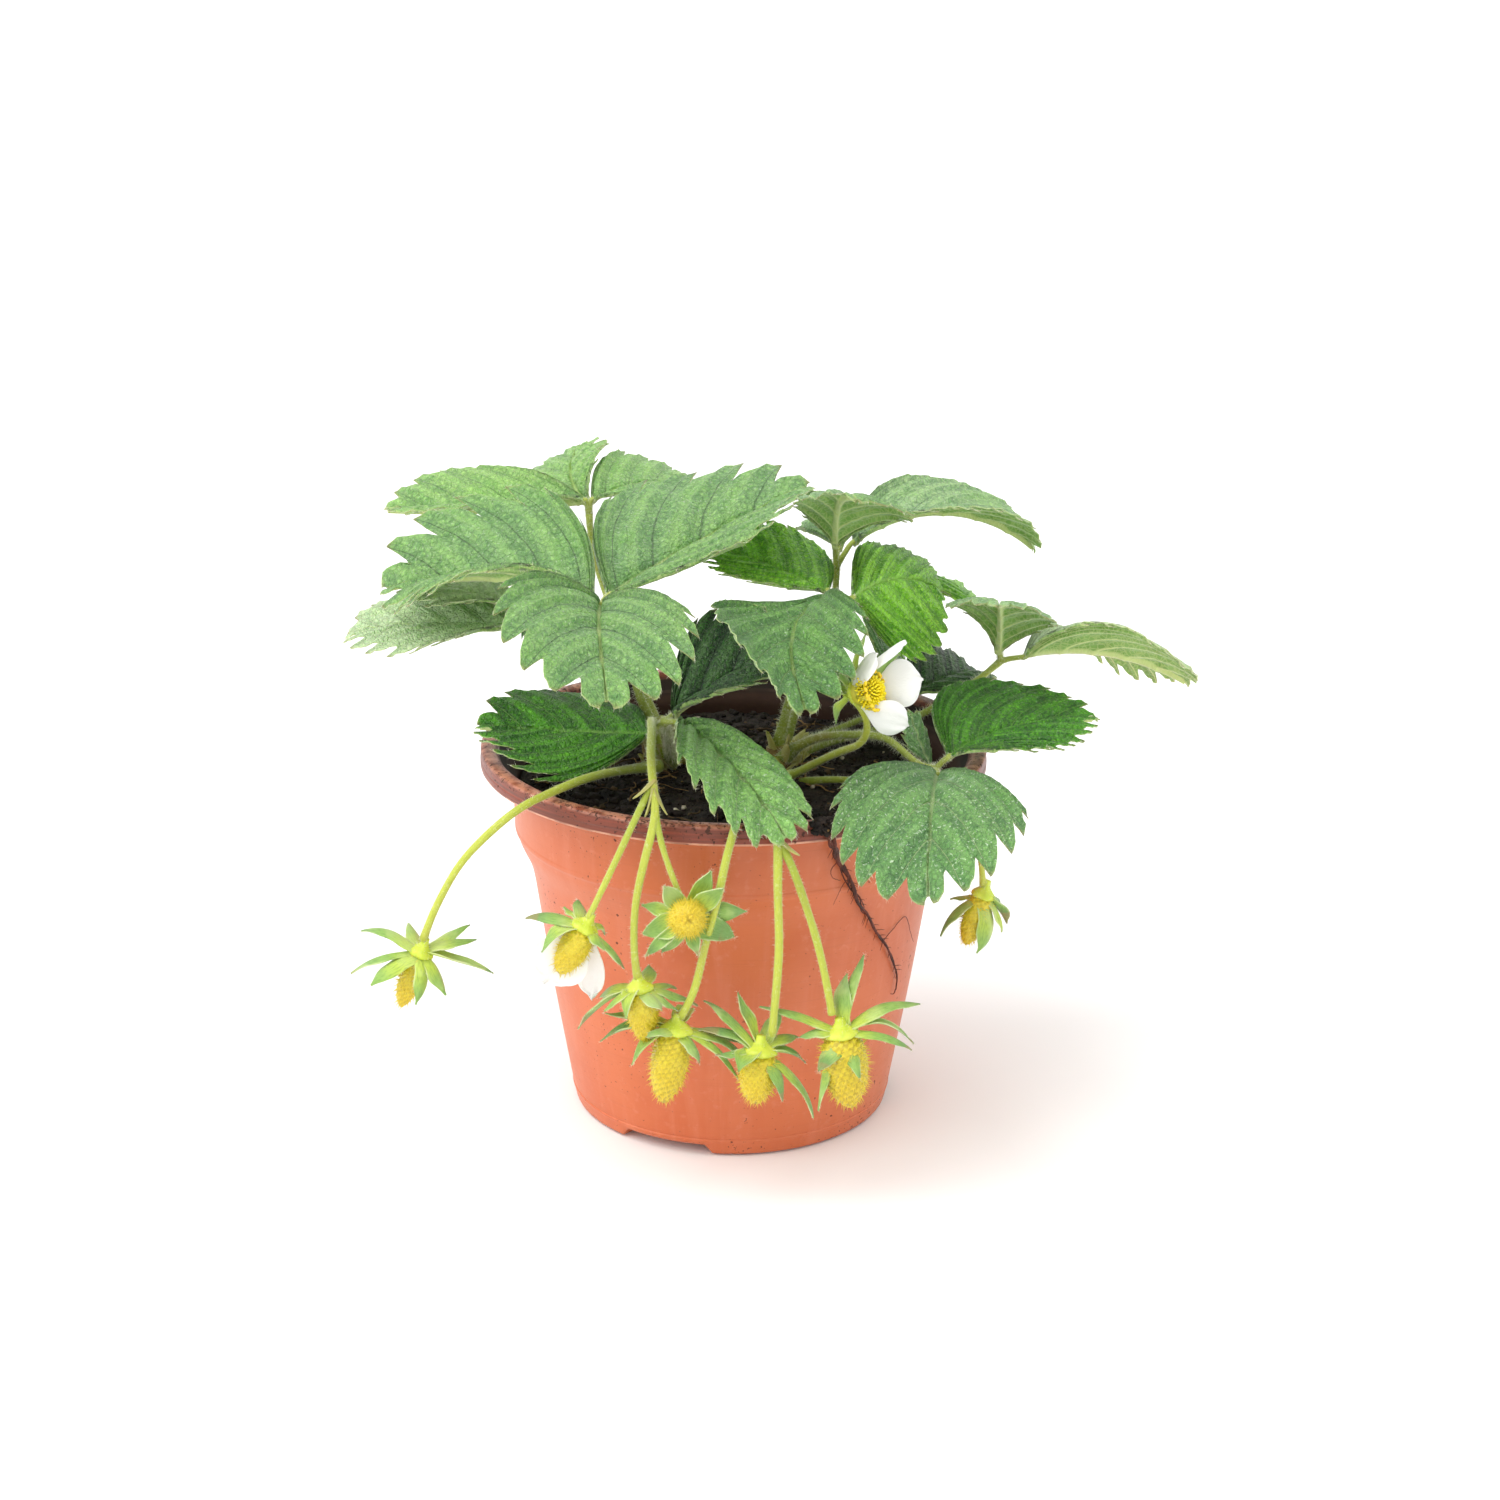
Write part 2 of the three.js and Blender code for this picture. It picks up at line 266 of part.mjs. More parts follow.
// ---------------------------------------------------------------- leaflet blade
// Outline: how far along the midrib (t) and how wide (f, 1 at the widest) for u from 0 to 1.
const OUTLINE = (() => {
  const rows = [];
  for (let i = 0; i < 3; i++) rows.push([(WIDEST * i) / 2, Math.sin(((Math.PI / 2) * i) / 2) ** 1.1]);
  for (let i = 1; i < 4; i++) {
    const phi = (Math.PI / 2) * (1 - i / 3);
    rows.push([WIDEST + (1 - WIDEST) * Math.cos(phi), Math.sin(phi) ** 0.9]);
  }
  rows[0] = [0.03, 0.04];
  rows[rows.length - 1][1] = 0.08;
  return rows;
})();

// Point on the blade's middle surface at t along the midrib and b millimetres across it (left is positive).
function bladePoint(n, base, t, b) {
  const [az0, el0, daz, del, L, wl, wr, r0, dr, fl0, fl1, fr0, fr1, cl, cr] = n;
  const tangent = (s) => {
    const az = rad(az0 + daz * s), el = rad(el0 + del * s);
    return new THREE.Vector3(Math.cos(el) * Math.cos(az), Math.cos(el) * Math.sin(az), Math.sin(el));
  };
  const m = V(base);
  const steps = 32;
  for (let i = 0; i < steps; i++) m.addScaledVector(tangent((t * (i + 0.5)) / steps), (L * t) / steps);
  const az = rad(az0 + daz * t);
  const T = tangent(t);
  const left = new THREE.Vector3(-Math.sin(az), Math.cos(az), 0);
  const up = new THREE.Vector3().crossVectors(T, left);
  const r = rad(r0 + dr * t);
  const across = left.clone().multiplyScalar(Math.cos(r)).addScaledVector(up, Math.sin(r));
  const normal = left.clone().multiplyScalar(-Math.sin(r)).addScaledVector(up, Math.cos(r));
  const isLeft = b >= 0;
  const W = (isLeft ? wl : wr) * L;
  let k = rad(isLeft ? cl : cr);
  if (Math.abs(k) < 1e-3) k = 1e-3;
  const f = rad(isLeft ? fl0 + (fl1 - fl0) * t : fr0 + (fr1 - fr0) * t);
  const e = Math.abs(b) / W;
  const x = (W / k) * (Math.sin(f + k * e) - Math.sin(f));
  const z = (-W / k) * (Math.cos(f + k * e) - Math.cos(f));
  return m.addScaledVector(across, (isLeft ? 1 : -1) * x).addScaledVector(normal, z);
}

function blade(n, base, grow = 0) {
  const rows = OUTLINE.length - 1;
  const L = n[4];
  const half = LEAF_THICKNESS / 2 + grow;
  return solid(
    bend(new THREE.BoxGeometry(2, 1, 2, 4, rows, 1), (x, y, z) => {
      const i = Math.round((y + 0.5) * rows);
      let [t, f] = OUTLINE[i];
      const W = (x >= 0 ? n[5] : n[6]) * L;
      let b = x * W * f;
      if (grow) {
        if (i === 0) t -= grow / L;
        if (i === rows) t += grow / L;
        b += Math.sign(x) * Math.abs(x) * grow * 1.5;
      }
      const p = bladePoint(n, base, t, b);
      const q = bladePoint(n, base, t + 0.01, b);
      const s = bladePoint(n, base, t, b + 0.2);
      const normal = q.sub(p).cross(s.sub(p)).normalize();
      return p.addScaledVector(normal, half * z);
    }),
  );
}

// A small pointed blade from a foot to a tip that bulges to one side, for a sepal.
function sepal(foot, tip, outward, width, grow = 0) {
  const rows = [[0, 0.42], [0.45, 1], [1, 0.16]];
  foot = foot.clone().addScaledVector(tip.clone().sub(foot).normalize(), 1.3);
  const d = tip.clone().sub(foot);
  const L = d.length();
  d.normalize();
  const n = outward.clone().addScaledVector(d, -outward.dot(d)).normalize();
  const w = new THREE.Vector3().crossVectors(d, n);
  return solid(
    bend(new THREE.BoxGeometry(2, 1, 2, 1, 2, 1), (x, y, z) => {
      const i = Math.round((y + 0.5) * 2);
      const [s, f] = rows[i];
      const lift = 4 * s * (1 - s) * 0.13 * L;
      return foot.clone()
        .addScaledVector(d, s * L + (i === 2 ? grow : 0))
        .addScaledVector(w, x * ((width / 2) * f + grow))
        .addScaledVector(n, lift + z * (SEPAL_THICKNESS / 2 + grow));
    }),
  );
}

// A rounded petal from its claw to its tip.
function petal(claw, tip, width, across, cup, grow = 0) {
  const rows = [[0, 0.16], [0.3, 0.62], [0.65, 1], [0.9, 0.8], [1, 0.4]];
  const a = V(claw), d = V(tip).sub(a);
  const L = d.length();
  d.normalize();
  const w = V(across);
  w.addScaledVector(d, -w.dot(d)).normalize();
  const n = new THREE.Vector3().crossVectors(d, w);
  return solid(
    bend(new THREE.BoxGeometry(2, 1, 2, 2, 4, 1), (x, y, z) => {
      const [s, f] = rows[Math.round((y + 0.5) * 4)];
      return a.clone()
        .addScaledVector(d, s * L)
        .addScaledVector(w, x * ((width / 2) * f + grow))
        .addScaledVector(n, cup * (x * x * f * 0.6 - 4 * s * (1 - s) * 0.5) + z * (PETAL_THICKNESS / 2 + grow));
    }),
  );
}

// ---------------------------------------------------------------- assembly
const plant = new THREE.Group();
const placed = [];

// Adds a piece: what earlier pieces and their clearance take up is cut away, and its largest body is kept.
function place(name, shape, keep, colour, roughness, metalness = 0) {
  let s = shape;
  const box = (m) => m.boundingBox();
  const apart = (a, b) => [0, 1, 2].some((k) => a.min[k] > b.max[k] || b.min[k] > a.max[k]);
  for (const p of placed) if (!apart(box(s), p.box)) s = s.subtract(p.keep);
  const bodies = s.decompose();
  s = bodies.sort((a, b) => b.volume() - a.volume())[0];
  const mesh = new THREE.Mesh(geometryOf(s), new THREE.MeshStandardMaterial({ color: colour, roughness, metalness }));
  mesh.name = name;
  plant.add(mesh);
  placed.push({ keep, box: box(keep) });
  return s;
}

// Pot: turned wall with a rolled rim, a collar, a stacking shoulder and a foot ring.
const floorInner = FOOT_RADIUS - WALL - 0.4;
const potProfile = [
  [0, 0], [CENTRE_PAD_RADIUS, 0], [CENTRE_PAD_RADIUS + 1, FLOOR_UNDERSIDE], [FOOT_RING[0] - 1, FLOOR_UNDERSIDE], [FOOT_RING[0], 0],
  [FOOT_RING[1], 0], [FOOT_RADIUS, 3.5], [SHOULDER_RADIUS, SHOULDER_Z], [COLLAR_FOOT_RADIUS, COLLAR_FOOT_Z], [COLLAR_RADIUS, 83.5],
  [57, POT_HEIGHT - 1.45], [RIM_RADIUS - RIM_LIP, POT_HEIGHT - 1.45], [RIM_RADIUS - RIM_LIP, POT_HEIGHT - RIM_DROP],
  [RIM_RADIUS, POT_HEIGHT - RIM_DROP], [RIM_RADIUS, POT_HEIGHT], [56.5, POT_HEIGHT],
  [COLLAR_RADIUS - WALL, 83.2], [COLLAR_FOOT_RADIUS - WALL, COLLAR_FOOT_Z], [SHOULDER_RADIUS - WALL, SHOULDER_Z],
  [floorInner, FLOOR_TOP], [0, FLOOR_TOP],
];
let pot = solid(lathe([...potProfile]));
for (let k = 0; k < DRAIN_COUNT; k++) {
  const a = (2 * Math.PI * (k + 0.5)) / DRAIN_COUNT;
  const hole = new THREE.CylinderGeometry(DRAIN_RADIUS, DRAIN_RADIUS, 10, 12).rotateX(Math.PI / 2);
  pot = pot.subtract(solid(hole.translate(DRAIN_CIRCLE * Math.cos(a), DRAIN_CIRCLE * Math.sin(a), 0)));
}
for (const angle of NOTCH.angles) {
  const cut = new THREE.BoxGeometry(8, NOTCH.width, 2 * NOTCH.height);
  bend(cut, (x, y, z) => new THREE.Vector3(x + 37.5, z > 0 ? y * 0.82 : y * 1.1, z > 0 ? NOTCH.height : -1));
  pot = pot.subtract(solid(cut.rotateZ(rad(angle))));
}
// the space in and round the pot that other pieces stay out of
const potKeep = solid(lathe([
  [0, -1], [FOOT_RING[1] + 2, -1], [FOOT_RADIUS + GAP + 0.1, 3], [SHOULDER_RADIUS + GAP, SHOULDER_Z - 0.2],
  [COLLAR_FOOT_RADIUS + GAP, COLLAR_FOOT_Z - 0.2], [COLLAR_RADIUS + GAP, 83.3], [56, 85], [RIM_RADIUS + GAP, 85], [RIM_RADIUS + GAP, POT_HEIGHT + GAP],
  [56.3, POT_HEIGHT + GAP], [COLLAR_RADIUS - WALL - GAP, 83.4], [COLLAR_FOOT_RADIUS - WALL - GAP, COLLAR_FOOT_Z],
  [SHOULDER_RADIUS - WALL - GAP, SHOULDER_Z], [floorInner - GAP, FLOOR_TOP + GAP], [0, FLOOR_TOP + GAP],
]));
place('pot', pot, potKeep, COLOURS.pot, 0.42);

// Soil fills the pot to just under the rim and is a little higher round the crown.
const soilProfile = (grow) => [
  [0, FLOOR_TOP + 0.4 - grow], [floorInner - 0.35 + grow, FLOOR_TOP + 0.4 - grow], [SHOULDER_RADIUS - WALL - 0.45 + grow, SHOULDER_Z], [COLLAR_FOOT_RADIUS - WALL - 0.45 + grow, COLLAR_FOOT_Z],
  [COLLAR_RADIUS - WALL - 0.75 + grow, SOIL_EDGE_Z + grow], [30, 82 + grow], [10, 83.5 + grow], [0, SOIL_CENTRE_Z + grow],
];
let soil = solid(lathe(soilProfile(0)));
place('soil', soil, solid(lathe(soilProfile(GAP))), COLOURS.soil, 0.95);

// Crown
const crownShape = (grow) => join(CROWN.map(([c, h]) => ellipsoid(V(c), h.map((v) => v + grow), undefined, 8, 5)));
place('crown', crownShape(0), crownShape(GAP), COLOURS.crown, 0.7);

// Root over the rim, with its crumb of soil
const rootShape = (grow) => {
  const half = ROOT_CRUMB[1] + grow;
  return stem(ROOT, 0.72 + grow, 14).add(ellipsoid(V(ROOT_CRUMB[0]), [half * 0.9, half * 0.62, half * 0.62], undefined, 8, 6));
};
place('hanging_root', rootShape(0), rootShape(GAP), COLOURS.root, 0.9);

// Leaf stems
for (const s of LEAF_STEMS) {
  const r = (s.radii[0] + s.radii[1]) / 2;
  const shape = (grow) =>
    join([
      stem(s.main, r + grow, Math.max(5, Math.min(9, Math.round(pathLength(s.main) / 8)))),
      ...s.twigs.map((t) => stem(t, 0.6 + grow, t.length > 2 ? 2 : 1)),
      ellipsoid(V(s.twigs[0][0]), [r + 0.15 + grow, r + 0.15 + grow, r + 0.15 + grow], undefined, 5, 3),
    ]);
  place(s.name, shape(0), shape(GAP), COLOURS.stem, 0.55);
}

// Fruit and flower stalks
for (const s of STALKS) {
  const shape = (grow) =>
    join(s.branches.map(([points, [a, b]]) => stem(points, (a + b) / 2 + grow, Math.max(5, Math.min(13, Math.round(pathLength(points) / 7))))));
  place(s.name, shape(0), shape(GAP), COLOURS.stalk, 0.5);
}

// Fruit: an unripe berry with the calyx it hangs from
for (const f of FRUITS) {
  const c = V(f.calyx), e = V(f.end);
  const axis = e.clone().sub(c);
  const length = axis.length();
  axis.normalize();
  const back = axis.clone().negate();
  const shape = (grow) =>
    join([
      ellipsoid(c.clone().addScaledVector(axis, length / 2 + 0.3), [f.width / 2 + grow, f.width / 2 + grow, length / 2 + 0.3 + grow], axis, 8, 6),
      ellipsoid(c, [2.1 + grow, 2.1 + grow, 1 + grow], axis, 7, 3),
      ...f.sepals.map((t) => sepal(c, V(t), back, 3.6, grow)),
    ]);
  place(f.name, shape(0), shape(GAP), COLOURS.berry, 0.5);
}

// Flower head: green calyx behind a domed yellow centre
{
  const c = V(FLOWER.calyx), n = V(FLOWER.facing).sub(c).normalize();
  const shape = (grow) =>
    join([
      ellipsoid(V(FLOWER.centre), [4 + grow, 4 + grow, 3.7 + grow], n, 8, 6),
      ellipsoid(c, [2.3 + grow, 2.3 + grow, 1.3 + grow], n, 8, 4),
      ...FLOWER.sepals.map((t) => sepal(c, V(t), n.clone().negate(), 3, grow)),
    ]);
  place('flower_head', shape(0), shape(GAP), COLOURS.flower, 0.6);
}
for (const [name, ...p] of PETALS) place(name, petal(...p), petal(...p, GAP), COLOURS.petal, 0.6);
{
  const shape = (grow) => join(HANGING_PETALS.map((p) => petal(...p, grow)));
  place('fruit_2_petals', shape(0), shape(GAP), COLOURS.petal, 0.6);
}

// Leaflets
for (const [name, colour, numbers, base] of LEAFLETS) place(name, blade(numbers, base), blade(numbers, base, GAP), colour, 0.5);

plant.name = 'potted_strawberry_plant';
export default plant;
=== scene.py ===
# Looks of the potted strawberry plant, built round the imported CAD frame. Tables are in millimetres and become metres
# in Build.make().
import bpy, math
import numpy as np
from mathutils import Matrix, Vector


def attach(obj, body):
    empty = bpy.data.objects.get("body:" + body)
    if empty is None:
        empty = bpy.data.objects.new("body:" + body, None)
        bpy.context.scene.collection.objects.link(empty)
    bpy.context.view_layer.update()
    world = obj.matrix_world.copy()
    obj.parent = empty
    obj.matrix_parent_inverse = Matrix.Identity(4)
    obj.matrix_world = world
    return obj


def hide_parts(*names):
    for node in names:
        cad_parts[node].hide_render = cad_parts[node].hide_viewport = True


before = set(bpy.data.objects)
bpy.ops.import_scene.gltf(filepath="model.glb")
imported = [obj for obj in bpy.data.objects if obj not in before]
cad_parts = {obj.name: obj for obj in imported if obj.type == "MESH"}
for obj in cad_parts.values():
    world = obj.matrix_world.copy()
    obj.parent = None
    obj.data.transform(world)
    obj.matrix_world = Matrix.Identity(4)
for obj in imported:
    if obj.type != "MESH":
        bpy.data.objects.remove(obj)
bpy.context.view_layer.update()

MM = 0.001

# ------------------------------------------------------------------ camera (the viewing angle of the picture)
ELEV = math.radians(18.862)
ROLL = math.radians(0.613)
DIST = 715.0
TARGET = np.array([3.928, 0.0, 87.771])
LENS = 72.086
back = np.array([0.0, -math.cos(ELEV), math.sin(ELEV)])
fwd = -back
right0 = np.cross(fwd, [0, 0, 1]); right0 /= np.linalg.norm(right0)
up0 = np.cross(right0, fwd)
CR = math.cos(ROLL) * right0 + math.sin(ROLL) * up0
CU = -math.sin(ROLL) * right0 + math.cos(ROLL) * up0
CP = TARGET + back * DIST
cam = bpy.data.cameras.new("camera")
cam.sensor_fit = 'HORIZONTAL'
cam.sensor_width = 36.0
cam.lens = LENS
cam.clip_start = 0.01
cam.clip_end = 50.0
camo = bpy.data.objects.new("camera", cam)
bpy.context.scene.collection.objects.link(camo)
camo.matrix_world = Matrix(((CR[0], CU[0], back[0], CP[0] * MM), (CR[1], CU[1], back[1], CP[1] * MM), (CR[2], CU[2], back[2], CP[2] * MM), (0, 0, 0, 1)))
bpy.context.scene.camera = camo

# ------------------------------------------------------------------ tables (same numbers as the CAD part)

# leaflets: node, key, [azimuth, elevation, turn and bend along the midrib, length, left and right half-width as a share of it,
# roll and twist, fold angles left (base, tip) and right (base, tip), curl left and right], foot
LEAFLETS = [
    ["leaf_1_leaflet_1", "A1", [132.585, 3.995, 45.168, -18.45, 58.621, 0.418, 0.482, 5.315, -11.846, 43.942, 6.457, 48.781, 29.388, -27.658, -2.453], [-32.09, -16.0, 129.54]],
    ["leaf_1_leaflet_2", "A2", [-90.344, 11.375, 9.381, -37.092, 55.481, 0.395, 0.454, -4.21, -1.358, 37.914, 13.784, 40.767, 14.693, -18.616, -10.236], [-30.39, -18.0, 128.71]],
    ["leaf_1_leaflet_3", "A3", [57.457, 9.881, -37.047, 11.798, 63.746, 0.476, 0.408, -0.669, -2.512, 31.328, 21.77, 7.48, 8.451, -22.208, 17.907], [-29.22, -14.0, 129.47]],
    ["leaf_2_leaflet_1", "B1", [188.205, -7.156, -7.406, 9.431, 49.37, 0.35, 0.425, -15.708, -2.983, 48.788, 38.907, 24.85, 8.464, -21.707, -29.787], [-37.28, 46.0, 136.91]],
    ["leaf_2_leaflet_2", "B2", [117.031, 7.187, -42.77, 4.876, 37.979, 0.401, 0.314, -20.152, -3.22, 32.361, 3.886, 49.293, 6.041, -13.169, -15.642], [-36.85, 47.0, 135.9]],
    ["leaf_2_leaflet_3", "B3", [45.453, 11.968, -7.005, -36.503, 39.539, 0.417, 0.414, 5.736, 5.249, 18.003, 9.879, 17.517, 6.365, -7.421, -28.084], [-36.04, 46.0, 136.93]],
    ["leaf_3_leaflet_1", "C1", [167.068, 2.229, 6.442, -14.653, 44.237, 0.416, 0.423, -5.131, -2.282, 16.262, 8.746, 19.111, 10.273, -20.825, -13.829], [-49.61, 5.0, 115.96]],
    ["leaf_3_leaflet_2", "C2", [160.202, 9.085, -4.901, -6.248, 31.609, 0.409, 0.42, 1.837, -1.739, 21.576, 8.836, 18.0, 10.0, -34.183, -25.0], [-50.96, 8.0, 120.24]],
    ["leaf_3_leaflet_3", "C3", [-53.64, 8.207, 1.104, -23.102, 29.983, 0.42, 0.419, -2.697, -1.51, 18.0, 10.0, 19.187, 11.011, -25.0, -22.916], [-47.57, 3.0, 116.58]],
    ["leaf_4_leaflet_1", "D1", [151.259, -10.236, 21.848, 11.145, 43.92, 0.451, 0.484, -24.787, 5.198, -26.871, 32.409, 3.113, 28.929, 2.163, -68.604], [-18.64, -22.0, 99.4]],
    ["leaf_4_leaflet_2", "E1", [21.515, 30.455, 8.15, -12.931, 36.688, 0.5, 0.412, 5.122, 4.066, 30.734, 19.148, 29.678, 16.426, 1.639, -17.677], [-14.28, -22.0, 103.33]],
    ["leaf_4_leaflet_3", "F1", [-62.358, 0.742, 7.248, -32.833, 49.605, 0.268, 0.323, 0.706, 14.679, 28.425, 18.266, 42.393, 8.439, -82.534, 11.174], [-12.09, -27.0, 103.32]],
    ["leaf_5_leaflet_1", "G1", [129.803, 6.515, 11.17, -5.06, 36.824, 0.413, 0.434, -5.853, -14.274, -0.904, 22.031, -9.324, 31.586, 11.439, -29.515], [21.84, -6.0, 128.96]],
    ["leaf_5_leaflet_2", "G2", [-125.132, -0.176, 57.386, -33.934, 49.37, 0.372, 0.421, 16.081, -14.091, 12.912, 18.955, -17.26, 28.387, -1.084, 59.551], [21.8, -8.0, 128.81]],
    ["leaf_5_leaflet_3", "G3", [57.046, 11.016, -2.934, -44.11, 42.777, 0.311, 0.479, 49.736, 8.158, -5.345, 6.145, -46.922, 0.682, -45.123, 6.554], [27.17, -7.0, 127.62]],
    ["leaf_6_leaflet_1", "H1", [-93.189, 58.668, 18.243, -55.036, 38.765, 0.461, 0.297, -5.405, -6.683, 21.671, 6.835, 20.393, 11.309, -39.523, -51.178], [23.59, 14.0, 134.4]],
    ["leaf_6_leaflet_2", "H2", [24.0, 32.0, -20.0, -74.0, 50.0, 0.42, 0.32, 4.0, -2.0, 18.0, 12.0, 22.0, 28.0, -10.0, -5.0], [27.75, 18.0, 134.12]],
    ["leaf_6_leaflet_3", "H3", [79.179, 13.288, -1.505, -20.043, 35.937, 0.415, 0.419, -13.107, -5.332, 19.269, 10.359, 27.043, 13.929, -24.15, -13.993], [24.49, 20.0, 132.31]],
    ["leaf_7_leaflet_1", "I1", [-94.537, 61.805, -2.848, -52.983, 35.741, 0.401, 0.381, -12.703, 6.843, 18.941, 3.413, 38.487, -1.169, -25.989, -45.096], [64.01, 20.0, 106.71]],
    ["leaf_7_leaflet_2", "I2", [20.202, 7.284, -11.566, -39.367, 45.524, 0.469, 0.423, -10.488, -5.178, 51.809, 2.19, 57.119, 5.657, -48.819, -27.77], [69.63, 20.0, 105.51]],
    ["leaf_7_leaflet_3", "I3", [123.001, 47.04, -5.763, -55.934, 34.409, 0.428, 0.419, 30.13, -12.836, 32.917, 3.118, -10.036, 11.708, -41.621, -50.538], [64.75, 26.0, 105.4]],
    ["leaf_8_leaflet_1", "J1", [45.378, 11.226, 18.444, -30.174, 35.486, 0.394, 0.398, 12.51, 4.089, 31.946, 13.384, 23.525, 10.647, -5.107, -21.279], [41.87, 26.0, 93.08]],
    ["leaf_8_leaflet_2", "J2", [104.689, 33.654, -0.91, -11.355, 31.181, 0.405, 0.398, 27.749, 17.502, 26.063, 20.522, 15.816, 8.806, -2.526, -29.437], [40.37, 30.0, 90.99]],
    ["leaf_8_leaflet_3", "J3", [139.183, 15.194, -6.471, -7.495, 28.894, 0.41, 0.412, 8.586, 3.988, 15.78, 11.588, 11.183, 8.918, -21.645, -28.585], [38.21, 26.0, 91.75]],
    ["leaf_9_leaflet_1", "K1", [60.853, 5.375, -53.244, -7.191, 45.88, 0.486, 0.403, 4.97, -5.175, 23.884, 15.088, 13.74, 18.552, -13.857, -29.823], [49.57, -22.0, 94.1]],
    ["leaf_9_leaflet_2", "K2", [-97.198, 18.249, 4.115, -61.273, 54.865, 0.402, 0.405, 3.695, 17.566, 10.263, 22.486, 24.134, 10.727, -57.666, 2.613], [47.1, -27.0, 91.61]],
    ["leaf_9_leaflet_3", "K3", [141.0, 52.0, -5.446, 13.696, 14.0, 0.423, 0.416, 8.336, 1.943, 1.582, 13.317, -4.811, 12.016, -21.171, -24.848], [46.1, -16.0, 89.78]],
]
